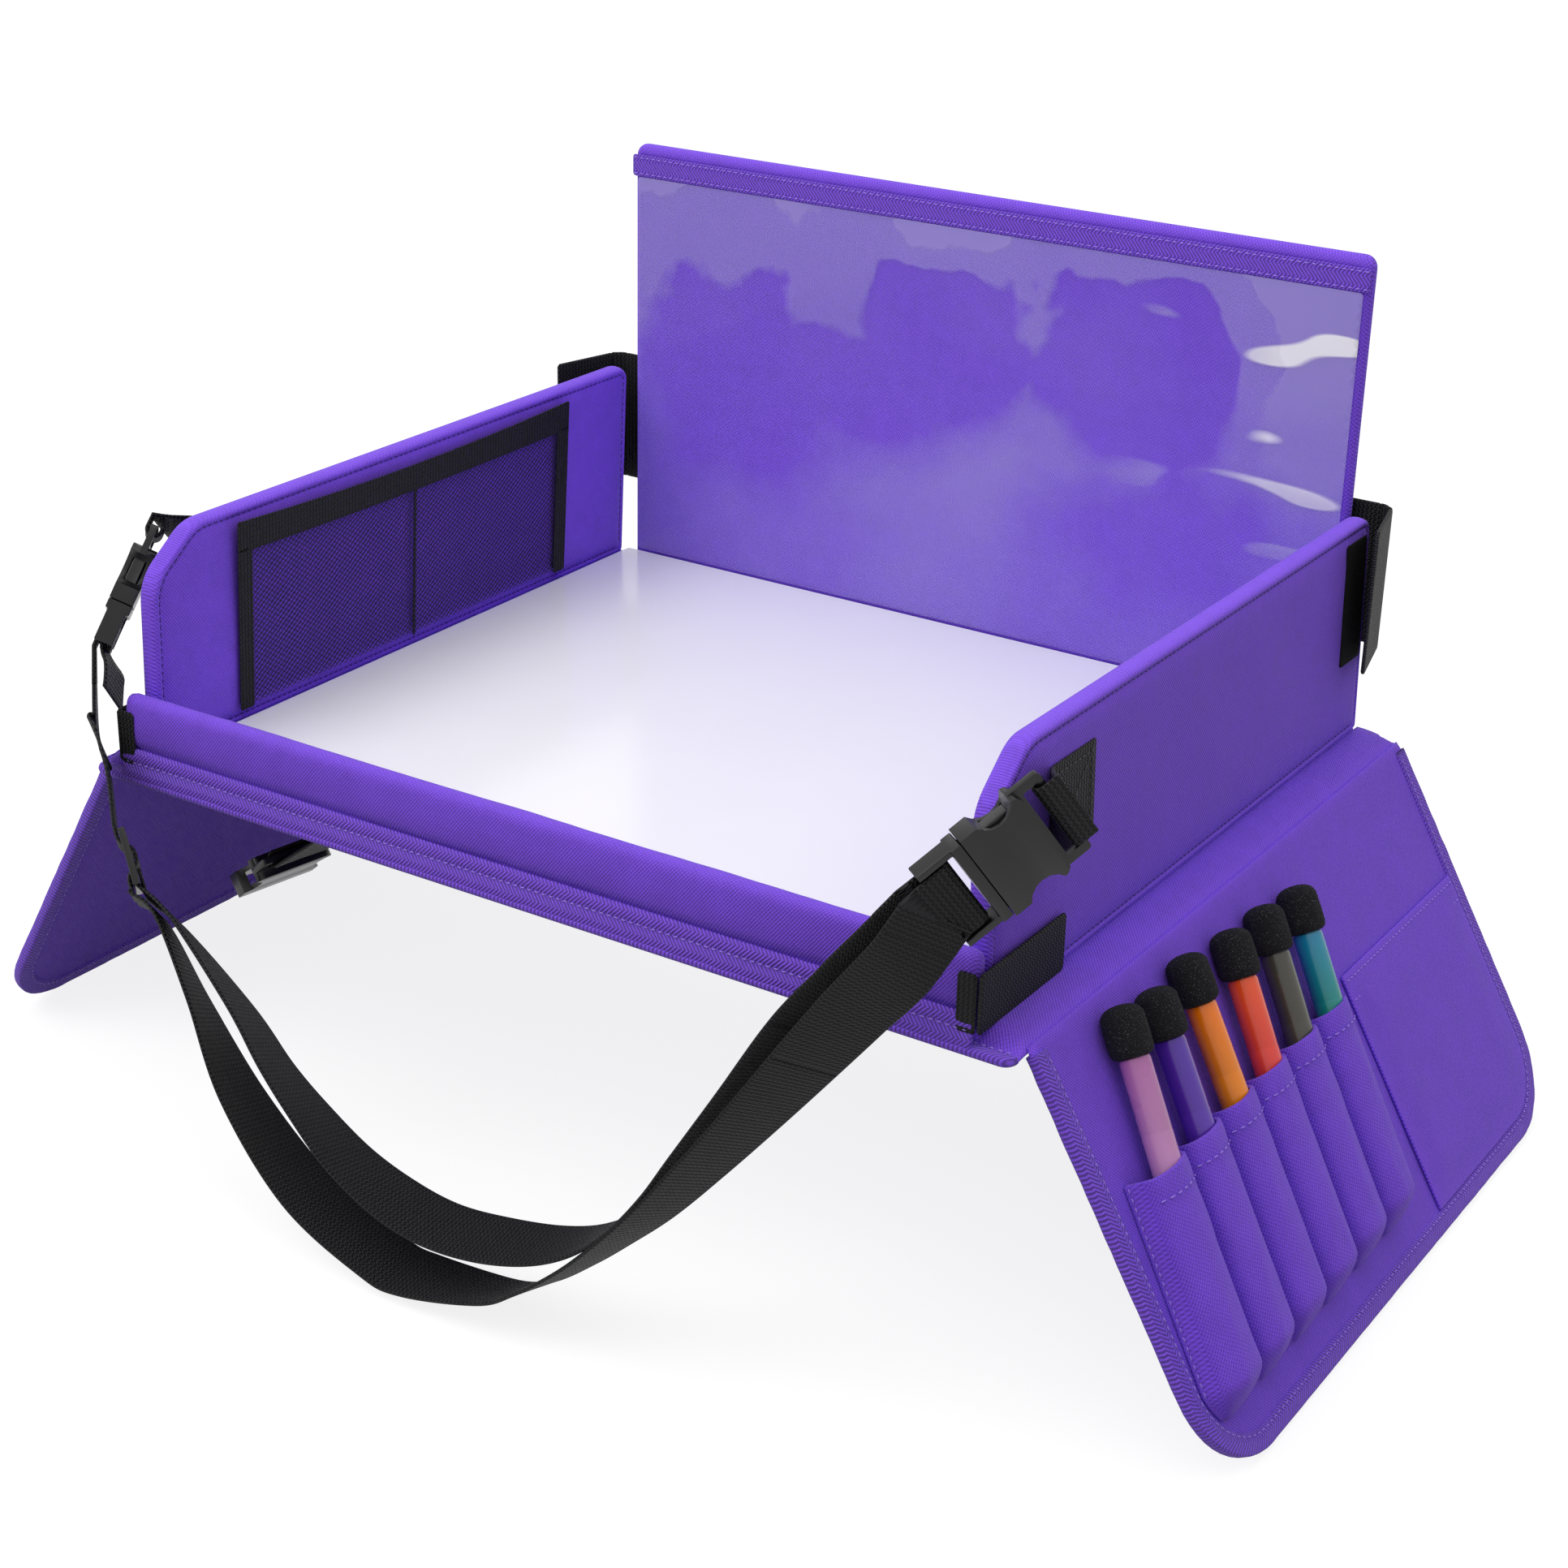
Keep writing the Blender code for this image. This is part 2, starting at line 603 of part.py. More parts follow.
def lip_outline(inset):
    """The lip's section (y, z), drawn in from the skin's outside by an inset."""
    back = LIP_BACK_Y - inset
    front = LIP_BACK_Y - LIP_THICKNESS + inset
    foot_front = LIP_BACK_Y - LIP_FOOT_THICKNESS + inset
    top = LIP_HEIGHT - inset
    radius = (back - front) / 2
    arch_centre = top - radius
    arch = []
    for step in range(LIP_ROUND_STEPS + 1):
        angle = math.pi * step / LIP_ROUND_STEPS
        arch.append(((back + front) / 2 + radius * math.cos(angle), arch_centre + radius * math.sin(angle)))
    bulge = LIP_FOOT_Z + (LIP_HEIGHT - LIP_FOOT_Z) * LIP_BULGE_HEIGHT_SHARE
    return [(back, LIP_FOOT_Z), *arch, (front, bulge), (foot_front, LIP_FOOT_Z)]


def make_lip(root, look):
    half = WALL_OUTER_X
    hollow = [(y, z - LIP_SKIN if z == LIP_FOOT_Z else z) for y, z in lip_outline(LIP_SKIN)]
    cover = carved(
        prism(lip_outline(0), -half, half, "X"), cutters=[prism(hollow, LIP_SKIN - half, half - LIP_SKIN, "X")],
    )
    piece("front_lip_cover", cover, look["purple cloth"], root)
    reach = half - LIP_SKIN - FIT_GAP
    piece("front_lip_foam", prism(lip_outline(LIP_SKIN + FIT_GAP), -reach, reach, "X"), look["foam"], root)
    front = SKIN_FRONT_Y - FIT_GAP - FLANGE_BINDING_SKIN
    back = front + FLANGE_BINDING_WIDTH
    low = SKIN_FOOT_Z - FIT_GAP - FLANGE_BINDING_SKIN
    high = SKIN_TOP_Z + FIT_GAP + FLANGE_BINDING_SKIN
    section = [
        (back, low), (back, low + FLANGE_BINDING_SKIN), (SKIN_FRONT_Y - FIT_GAP, low + FLANGE_BINDING_SKIN),
        (SKIN_FRONT_Y - FIT_GAP, high - FLANGE_BINDING_SKIN), (back, high - FLANGE_BINDING_SKIN),
        (back, high), (front, high), (front, low),
    ]
    reach = BEND_X - BEND_CLEARANCE - FIT_GAP
    piece("front_flange_binding", prism(section, -reach, reach, "X"), look["purple tape"], root)


# Side walls

def wall_outline(inset):
    """A wall's outline (y, z), drawn in by an inset."""
    front = WALL_FRONT_Y + inset
    back = TRAY_BACK_Y - FIT_GAP - inset
    top = WALL_HEIGHT - inset
    foot = WALL_FOOT_Z + inset
    return rounded([
        (front, foot, WALL_FOOT_RADIUS),
        (front, WALL_HEIGHT - WALL_CHAMFER_DROP, WALL_CHAMFER_RADIUS),
        (WALL_FRONT_Y + WALL_CHAMFER_DEPTH, top, WALL_CHAMFER_RADIUS),
        (back, top, WALL_BACK_RADIUS),
        (back, foot, WALL_FOOT_RADIUS),
    ])


def make_wall(name, side, hinge, look):
    """A board between an outer cover that wraps it and an inner cover, in the wall's hinge frame."""
    inner = side * HINGE_CLOTH
    outer = side * (HINGE_CLOTH + WALL_THICKNESS)
    skin = side * WALL_SKIN
    gap = side * FIT_GAP
    shell = prism(wall_outline(0), inner + skin + gap, outer, "X")
    hollow = prism(wall_outline(WALL_SKIN), inner - skin, outer - skin, "X")
    seated(f"{name}_wall_outer_cover", carved(shell, cutters=[hollow]), look["purple cloth"], hinge)
    seated(
        f"{name}_wall_board",
        prism(wall_outline(WALL_SKIN + FIT_GAP), inner + skin + gap, outer - skin - gap, "X"),
        look["board"], hinge,
    )
    seated(f"{name}_wall_inner_cover", prism(wall_outline(0), inner, inner + skin, "X"), look["purple cloth"], hinge)
    patch_back = TRAY_BACK_Y - WALL_BACK_RADIUS
    patch = box(
        (min(outer + gap, outer + gap + side * LOOP_PATCH_THICKNESS), patch_back - LOOP_PATCH_LENGTH, HOOK_TAB_FOOT),
        (max(outer + gap, outer + gap + side * LOOP_PATCH_THICKNESS), patch_back,
         WALL_HEIGHT - WALL_BACK_RADIUS),
    )
    seated(f"{name}_back_loop_patch", patch, look["black webbing"], hinge)


def pocket_ring(height, stand_off, side):
    """The pocket's plan outline at one height: gusset, net and gusset, open toward the wall."""
    face = side * (HINGE_CLOTH - FIT_GAP)
    net = side * (HINGE_CLOTH - stand_off - FIT_GAP)
    inner = net
    outer = net - side * NET_THICKNESS
    front, back = POCKET_FRONT_Y, POCKET_BACK_Y
    return [
        (face, front, height), (outer, front, height), (outer, back, height), (face, back, height),
        (face, back - NET_THICKNESS, height), (inner, back - NET_THICKNESS, height),
        (inner, front + NET_THICKNESS, height), (face, front + NET_THICKNESS, height),
    ]


def make_mesh_pocket(side, hinge, look):
    band_foot = POCKET_TOP - POCKET_BAND_WIDTH
    seated(
        "mesh_pocket_net",
        lofted([pocket_ring(POCKET_FOOT, POCKET_FOOT_GAP, side), pocket_ring(POCKET_TOP, POCKET_MOUTH, side)]),
        look["black net"], hinge,
    )
    rows = []
    for height in (band_foot, POCKET_TOP):
        share = (height - POCKET_FOOT) / (POCKET_TOP - POCKET_FOOT)
        stand_off = POCKET_FOOT_GAP + (POCKET_MOUTH - POCKET_FOOT_GAP) * share
        near = side * (HINGE_CLOTH - stand_off - NET_THICKNESS - 2 * FIT_GAP)
        far = near - side * POCKET_BAND_THICKNESS
        rows.append([(near, POCKET_FRONT_Y, height), (far, POCKET_FRONT_Y, height),
                     (far, POCKET_BACK_Y, height), (near, POCKET_BACK_Y, height)])
    seated("mesh_pocket_band", lofted(rows), look["black webbing"], hinge)


# Buckles

def female_buckle(name, body, look, frame):
    """The socket half, drawn in the buckle's own frame and seated in its body."""
    half = BUCKLE_WIDTH / 2
    plate = prism(
        rounded([
            (-BUCKLE_BAR_HALF, -half, BUCKLE_BAR_HALF), (BUCKLE_FEMALE_END, -half, 0),
            (BUCKLE_FEMALE_END, half, 0), (-BUCKLE_BAR_HALF, half, BUCKLE_BAR_HALF),
        ], steps=2),
        -BUCKLE_BAR_HALF, BUCKLE_BAR_HALF,
    )
    block = prism(
        rounded([
            (BUCKLE_BODY_START, -half, BUCKLE_CORNER_RADIUS), (BUCKLE_FEMALE_END, -half, 0),
            (BUCKLE_FEMALE_END, half, 0), (BUCKLE_BODY_START, half, BUCKLE_CORNER_RADIUS),
        ], steps=3),
        -BUCKLE_THICKNESS / 2, BUCKLE_THICKNESS / 2,
    )
    overrun = BUCKLE_THICKNESS
    slot = BUCKLE_SLOT_WIDTH / 2
    socket = BUCKLE_SOCKET_WIDTH / 2
    depth = BUCKLE_SOCKET_THICKNESS / 2
    cutters = [
        box((BUCKLE_BAR_HALF, -slot, -overrun), (BUCKLE_SLOT_END, slot, overrun)),
        box((BUCKLE_SOCKET_START, -socket, -depth), (BUCKLE_FEMALE_END + overrun, socket, depth)),
    ]
    for end in (-1, 1):
        place = (BUCKLE_WINDOW_X, end * (half + BUCKLE_WINDOW_RADIUS - BUCKLE_WINDOW_DEPTH), 0)
        window = bmesh.new()
        bmesh.ops.create_cone(
            window, cap_ends=True, segments=BUCKLE_WINDOW_SIDES, radius1=BUCKLE_WINDOW_RADIUS,
            radius2=BUCKLE_WINDOW_RADIUS, depth=2 * overrun, matrix=Matrix.Translation(place),
        )
        cutters.append(window)
    shape = carved(plate, [block], cutters)
    shape.transform(frame)
    return seated(name, shape, look["black plastic"], body)


def male_buckle(name, body, look, frame):
    """The fork half: a tongue and two prongs in the socket, a shoulder, two arms and the strap's two bars."""
    start = BUCKLE_FEMALE_END + FIT_GAP
    end = start + MALE_LENGTH
    shoulder = start + MALE_SHOULDER_LENGTH
    half = MALE_WIDTH / 2
    slot = BUCKLE_SLOT_WIDTH / 2
    bar = BUCKLE_BAR_HALF
    plate = box((start, -half, -BUCKLE_BAR_HALF), (end, half, BUCKLE_BAR_HALF))
    joined = [box((start, -half, -BUCKLE_THICKNESS / 2), (shoulder, half, BUCKLE_THICKNESS / 2))]
    for lift in (-1, 1):
        low, high = sorted((lift * slot, lift * half))
        joined.append(box((start, low, -MALE_ARM_THICKNESS / 2), (end, high, MALE_ARM_THICKNESS / 2)))
        edge = BUCKLE_SOCKET_WIDTH / 2 - FIT_GAP
        low, high = sorted((lift * edge, lift * (edge - PRONG_WIDTH)))
        joined.append(box((PRONG_START, low, -PRONG_THICKNESS / 2), (shoulder, high, PRONG_THICKNESS / 2)))
    joined.append(box(
        (PRONG_START, -TONGUE_WIDTH / 2, -PRONG_THICKNESS / 2), (shoulder, TONGUE_WIDTH / 2, PRONG_THICKNESS / 2),
    ))
    overrun = BUCKLE_THICKNESS
    cutters = [
        box((shoulder, -slot, -overrun), (MALE_BAR_X - bar, slot, overrun)),
        box((MALE_BAR_X + bar, -slot, -overrun), (end - MALE_END_BAR_WIDTH, slot, overrun)),
    ]
    shape = carved(plate, joined, cutters)
    shape.transform(frame)
    return seated(name, shape, look["black plastic"], body)


def make_wall_buckle(name, side, hinge, male_body, frame, patch_rear, look):
    """A wall's webbing patch, its buckle and the male half clipped into it."""
    inner_frame = hinge.matrix_basis.inverted() @ frame
    female_buckle(f"{name}_female_buckle", hinge, look, inner_frame)
    male_buckle(f"{name}_male_buckle", male_body, look, male_body.matrix_basis.inverted() @ frame)
    face_x = side * (HINGE_CLOTH + WALL_THICKNESS + FIT_GAP + WEBBING_THICKNESS / 2)
    rear_y, rear_z = TRAY_FRONT_Y + patch_rear[0], patch_rear[1]
    along, across, face = (inner_frame.to_3x3().col[k] for k in range(3))
    upright = Vector((0, 0, 1 if across.z > 0 else -1))
    sewn = [
        (Vector((face_x, rear_y - PATCH_LENGTH * share, rear_z)), upright, PATCH_WIDTH) for share in (0, 0.5, 1)
    ]
    wrap = bar_wrap(inner_frame, 0, 1)
    lead = (wrap[0][0] - along * WRAP_LEAD, across, WEBBING_WIDTH)
    tail = [wrap[-1][0] - along * WRAP_TAIL, across, WEBBING_WIDTH]
    route = straight_route([*sewn, lead], TWIST_STEPS) + [*wrap, tail]
    seated(f"{name}_buckle_webbing", ribbon(route, WEBBING_THICKNESS, square=False), look["black webbing"], hinge)


def make_under_buckle(root, body, frame, look):
    """A webbing tab sewn flat under the tray, and the loose webbing and socket half that hang from it."""
    low = SKIN_FOOT_Z - FIT_GAP - WEBBING_THICKNESS
    half = WEBBING_WIDTH / 2
    tab = box(
        (UNDER_TAB_END_X, UNDER_LOOP_Y - half, low), (UNDER_TAB_START_X, UNDER_LOOP_Y + half, low + WEBBING_THICKNESS),
    )
    piece("under_tray_webbing_tab", tab, look["black webbing"], root)
    inner_frame = body.matrix_basis.inverted() @ frame
    female_buckle("under_tray_buckle", body, look, inner_frame)
    wrap = bar_wrap(inner_frame, 0, 1)
    along, across, face = (inner_frame.to_3x3().col[k] for k in range(3))
    top = (Vector((0, 0, 0)), Vector((0, 1, 0)), WEBBING_WIDTH)
    tail = [wrap[-1][0] - along * WRAP_TAIL, across, WEBBING_WIDTH]
    route = straight_route([top, wrap[0]], TWIST_STEPS) + [*wrap[1:], tail]
    seated("under_tray_buckle_loop", ribbon(route, WEBBING_THICKNESS), look["black webbing"], body)


# Back panel

def make_back_panel(hinge, look):
    half = PANEL_WIDTH / 2
    front, back = PANEL_FRONT_Y, PANEL_BACK_Y
    foot = PANEL_FOOT_Z

    def outline(inset):
        return rounded([
            (inset - half, foot + inset, 0), (half - inset, foot + inset, 0),
            (half - inset, PANEL_HEIGHT - inset, PANEL_CORNER_RADIUS),
            (inset - half, PANEL_HEIGHT - inset, PANEL_CORNER_RADIUS),
        ])

    shell = prism(outline(0), front + PANEL_SKIN + FIT_GAP, back, "Y")
    hollow = prism(outline(PANEL_SKIN), front - PANEL_SKIN, back - PANEL_SKIN, "Y")
    piece("back_panel_rear_cover", carved(shell, cutters=[hollow]), look["purple cloth"], hinge)
    board = prism(
        outline(PANEL_SKIN + FIT_GAP), front + PANEL_SKIN + FIT_GAP, back - PANEL_SKIN - FIT_GAP, "Y",
    )
    piece("back_panel_board", board, look["board"], hinge)
    piece("back_panel_front_cover", prism(outline(0), front, front + PANEL_SKIN, "Y"), look["purple cloth"], hinge)
    reach = half - VINYL_SIDE_MARGIN
    tape_foot = TAPE_TOP - TAPE_WIDTH
    vinyl_back = front - FIT_GAP
    piece(
        "clear_window_pocket",
        box((-reach, vinyl_back - VINYL_THICKNESS, VINYL_FOOT), (reach, vinyl_back, tape_foot - FIT_GAP)),
        look["vinyl"], hinge,
    )
    piece(
        "window_top_tape",
        box((-half, vinyl_back - TAPE_THICKNESS, tape_foot), (half, vinyl_back, TAPE_TOP)),
        look["purple tape"], hinge,
    )


def make_hook_tab(name, side, panel, body, look):
    """The part sewn on the panel's rear face, and the part that peels off the wall."""
    top = HOOK_TAB_FOOT + HOOK_TAB_HEIGHT
    half = HOOK_TAB_THICKNESS / 2
    corner = body.matrix_basis.translation
    inner_x = corner.x - side * (half + FIT_GAP)
    far_x = corner.x - side * HOOK_TAB_SEWN_LENGTH
    low, high = sorted((inner_x, far_x))
    sewn = box((low, corner.y - half, HOOK_TAB_FOOT), (high, corner.y + half, top))
    piece(f"{name}_hook_tab_anchor", sewn, look["black webbing"], panel)
    loose = box((-half, -HOOK_TAB_LENGTH, HOOK_TAB_FOOT), (half, 0, top))
    seated(f"{name}_hook_tab", loose, look["black webbing"], body)


def make_corner_tab(name, side, root, body, look):
    """The part sewn across the lip's end, and the part that peels off the wall's outer face."""
    half = CORNER_TAB_THICKNESS / 2
    corner = body.matrix_basis.translation
    top = CORNER_TAB_FOOT + CORNER_TAB_WIDTH
    low, high = sorted((corner.x - side * (half + FIT_GAP), corner.x - side * CORNER_TAB_SEWN_LENGTH))
    sewn = box((low, corner.y - half, CORNER_TAB_FOOT), (high, corner.y + half, top))
    piece(f"{name}_corner_tab_anchor", sewn, look["black webbing"], root)
    loose = box((-half, 0, CORNER_TAB_FOOT), (half, CORNER_TAB_LENGTH, top))
    seated(f"{name}_corner_tab", loose, look["black webbing"], body)


# Flaps

def flap_outline(grow, top):
    """A flap's outline (y, z), grown by an offset, up to a top edge."""
    radius = FLAP_CORNER_RADIUS + grow
    foot = -FLAP_LENGTH - grow
    return rounded([
        (FLAP_FRONT_Y - grow, top, 0), (FLAP_FRONT_Y - grow, foot, radius),
        (FLAP_BACK_Y + grow, foot, radius), (FLAP_BACK_Y + grow, top, 0),
    ], steps=FLAP_CORNER_STEPS)


def make_flap(name, hinge, look):
    half = FLAP_THICKNESS / 2
    angles = [2 * math.pi * step / FLAP_ROOT_SIDES for step in range(FLAP_ROOT_SIDES)]
    circle = [(half * math.cos(angle), half * math.sin(angle)) for angle in angles]
    root = prism(circle, FLAP_FRONT_Y, FLAP_BACK_Y, "Y")
    panel = carved(prism(flap_outline(0, 0), -half, half, "X"), [root])
    seated(f"{name}_flap_panel", panel, look["purple cloth"], hinge)
    binding_top = -FLAP_ROOT_GAP - BINDING_HALF
    through = 2 * BINDING_HALF
    band = prism(flap_outline(BINDING_REACH, binding_top), -BINDING_HALF, BINDING_HALF, "X")
    inside = prism(flap_outline(BINDING_REACH - BINDING_WIDTH, through), -through, through, "X")
    slot = prism(flap_outline(FIT_GAP, through), -half - FIT_GAP, half + FIT_GAP, "X")
    seated(f"{name}_flap_binding", carved(band, cutters=[inside, slot]), look["purple tape"], hinge)


def make_big_pocket(hinge, look):
    """A flat pocket behind the pen sleeves, sewn along three edges."""
    edge = BINDING_WIDTH - BINDING_REACH + FIT_GAP
    radius = FLAP_CORNER_RADIUS - edge
    foot = edge - FLAP_LENGTH
    outline = rounded([
        (BIG_POCKET_FRONT_Y, -BIG_POCKET_TOP, 0), (BIG_POCKET_FRONT_Y, foot, 0),
        (FLAP_BACK_Y - edge, foot, radius), (FLAP_BACK_Y - edge, -BIG_POCKET_TOP, 0),
    ], steps=FLAP_CORNER_STEPS)
    shape = prism(outline, FLAP_FACE_X, FLAP_FACE_X + BIG_POCKET_THICKNESS, "X")
    seated("big_flap_pocket", shape, look["purple cloth"], hinge)


def sleeve_y(index, depth):
    """The middle of a sleeve at a depth below the bend."""
    return SLEEVE_FIRST_Y + index * SLEEVE_PITCH - (depth - SLEEVE_HEM) * math.tan(SLEEVE_SLANT)


def sleeve_row(depth, rise, width_share):
    """A ring through the sleeves' outer side and back along their inner side, at one depth."""
    outer = []
    inner = []
    for index in range(SLEEVE_COUNT):
        middle = sleeve_y(index, depth)
        for across, up in SLEEVE_ARCH_SHARES:
            y = middle + across * SLEEVE_HALF_WIDTH * width_share
            outer.append((FLAP_FACE_X + SLEEVE_SKIN + up * (rise - SLEEVE_SKIN), y, -depth))
            inward = SLEEVE_SKIN * (1 if across < 0 else -1) * (width_share if up < 1 else 1)
            lifted = FLAP_FACE_X + up * (rise - SLEEVE_SKIN)
            inner.append((lifted, y + inward, -depth))
    seam = SLEEVE_SEAM_WIDTH
    front = (FLAP_FACE_X + SLEEVE_SKIN, outer[0][1] - seam, -depth)
    back = (FLAP_FACE_X + SLEEVE_SKIN, outer[-1][1] + seam, -depth)
    front_low = (FLAP_FACE_X, front[1], -depth)
    back_low = (FLAP_FACE_X, back[1], -depth)
    return [front_low, front, *outer, back, back_low, *reversed(inner)]


def make_pen_sleeves(hinge, look):
    rows = [
        sleeve_row(SLEEVE_HEM, SLEEVE_RISE, 1),
        sleeve_row(SLEEVE_TAPER_START, SLEEVE_RISE, 1),
        sleeve_row(SLEEVE_BOTTOM, SLEEVE_RISE * SLEEVE_END_RISE_SHARE, SLEEVE_END_WIDTH_SHARE),
    ]
    seated("pen_sleeve_strip", lofted(rows), look["purple cloth"], hinge)


# Markers

def marker_frame(flap, index):
    """A marker's frame in the tray's frame: origin at its cap's top, z up along the marker.
    At the sleeve's hem it stands far enough back for its end to stay in the slanted sleeve when pushed down."""
    depth = MARKER_TOPS[index]
    slant = MARKER_SLANTS[index]
    length = MARKER_CAP_LENGTH + FIT_GAP + MARKER_BODY_LENGTH + MARKER_PUSH
    run = depth + length * math.cos(slant) - SLEEVE_HEM
    drift = run * (math.tan(slant) - math.tan(SLEEVE_SLANT))
    shift = max(MARKER_HEM_SHIFT, drift / 2)
    y = sleeve_y(index, SLEEVE_HEM) + shift + (SLEEVE_HEM - depth) * math.tan(slant)
    place = Matrix.Translation((FLAP_FACE_X + MARKER_CAP_RADIUS, y, -depth))
    return flap.matrix_basis @ place @ Matrix.Rotation(-slant, 4, "X")


def make_marker(index, body, cap_body, colour, look):
    foot = -MARKER_CAP_LENGTH - FIT_GAP
    end = foot - MARKER_BODY_LENGTH
    neck_top = foot + MARKER_NECK_LENGTH
    barrel = turned([
        (0, end), (MARKER_END_RADIUS, end), (MARKER_RADIUS, end + MARKER_END_TAPER), (MARKER_RADIUS, foot),
        (MARKER_NECK_RADIUS, foot), (MARKER_NECK_RADIUS, neck_top), (0, neck_top),
    ], MARKER_SIDES)
    seated(f"marker_{index + 1}", barrel, colour, body, smooth=True)
    bore = MARKER_NECK_RADIUS + FIT_GAP
    low = -MARKER_CAP_LENGTH
    radius = MARKER_CAP_RADIUS
    crown = MARKER_CAP_ROUND
    bevel = crown * (1 - math.cos(math.pi / 4))
    cap = turned([
        (0, neck_top + FIT_GAP), (bore, neck_top + FIT_GAP), (bore, low), (radius - crown / 2, low),
        (radius, low + crown / 2), (radius, -crown), (radius - bevel, -bevel), (radius - crown, 0), (0, 0),
    ], MARKER_SIDES)
    seated(f"marker_cap_{index + 1}", cap, look["cap foam"], cap_body, smooth=True)


# Strap

def make_strap(root, right_frame, left_frame, glide, look):
    """One length of webbing: a tail, round the left buckle's bar, through the adjuster, round the right
    buckle's bar and back to the adjuster."""
    past_bar = MALE_LENGTH + BUCKLE_FEMALE_END - MALE_BAR_X + STRAP_EXIT_REACH

    def leaving(frame, side):
        along, across, face = (frame.to_3x3().col[k] for k in range(3))
        bar = frame @ Vector((MALE_BAR_X, 0, 0))
        return (bar + along * past_bar + face * side * WRAP_RADIUS, across, WEBBING_WIDTH)

    def at_glide(reach, lift):
        along, across, face = (glide.to_3x3().col[k] for k in range(3))
        return (glide.translation + along * reach + face * lift, across, WEBBING_WIDTH)

    rest = GLIDE_THICKNESS / 2 + FIT_GAP + WEBBING_THICKNESS / 2
    middle = (GLIDE_BAR_HALF + GLIDE_SLOT_END) / 2
    hop = GLIDE_BAR_HALF + WEBBING_THICKNESS / 2
    dip = GLIDE_SLOT_END - WEBBING_THICKNESS / 2
    beyond = GLIDE_LENGTH / 2 + STRAP_EXIT_REACH
    reaches = ((beyond, -rest), (dip, -rest), (middle, 0), (hop, rest))
    through = [at_glide(-reach, lift) for reach, lift in reaches]
    through += [at_glide(reach, lift) for reach, lift in reversed(reaches)]
    tail = [*reversed(widened(LEFT_TAIL_ROUTE, WEBBING_WIDTH)), *flipped([leaving(left_frame, -1)])]
    left_run = [*flipped([leaving(left_frame, 1)]), *widened(LEFT_STRAP_ROUTE, WEBBING_WIDTH)]
    outer_run = [*widened(OUTER_STRAP_ROUTE, WEBBING_WIDTH), leaving(right_frame, 1)]
    inner_run = [leaving(right_frame, -1), *reversed(widened(INNER_STRAP_ROUTE, WEBBING_WIDTH))]
    route = smooth_route(tail, STRAP_STEPS)
    route += reversed(flipped(bar_wrap(left_frame, MALE_BAR_X, -1)))
    route += smooth_route([*left_run, through[0]], STRAP_STEPS)
    route += [list(row) for row in through[1:-1]]
    route += smooth_route([through[-1], *outer_run], STRAP_STEPS)
    route += bar_wrap(right_frame, MALE_BAR_X, -1)
    route += smooth_route([*inner_run, at_glide(beyond, rest)], STRAP_STEPS)
    route.append(list(at_glide(middle, rest)))
    piece("strap_webbing", ribbon(route, WEBBING_THICKNESS), look["black webbing"], root)


def make_glide(root, frame, look):
    half, width = GLIDE_LENGTH / 2, GLIDE_WIDTH / 2
    plate = box((-half, -width, -GLIDE_THICKNESS / 2), (half, width, GLIDE_THICKNESS / 2))
    slot = BUCKLE_SLOT_WIDTH / 2
    cutters = []
    for side in (-1, 1):
        low, high = sorted((side * GLIDE_BAR_HALF, side * GLIDE_SLOT_END))
        cutters.append(box((low, -slot, -GLIDE_LENGTH), (high, slot, GLIDE_LENGTH)))
    shape = carved(plate, cutters=cutters)
    shape.transform(frame)
    seated("strap_adjuster", shape, look["black plastic"], root)


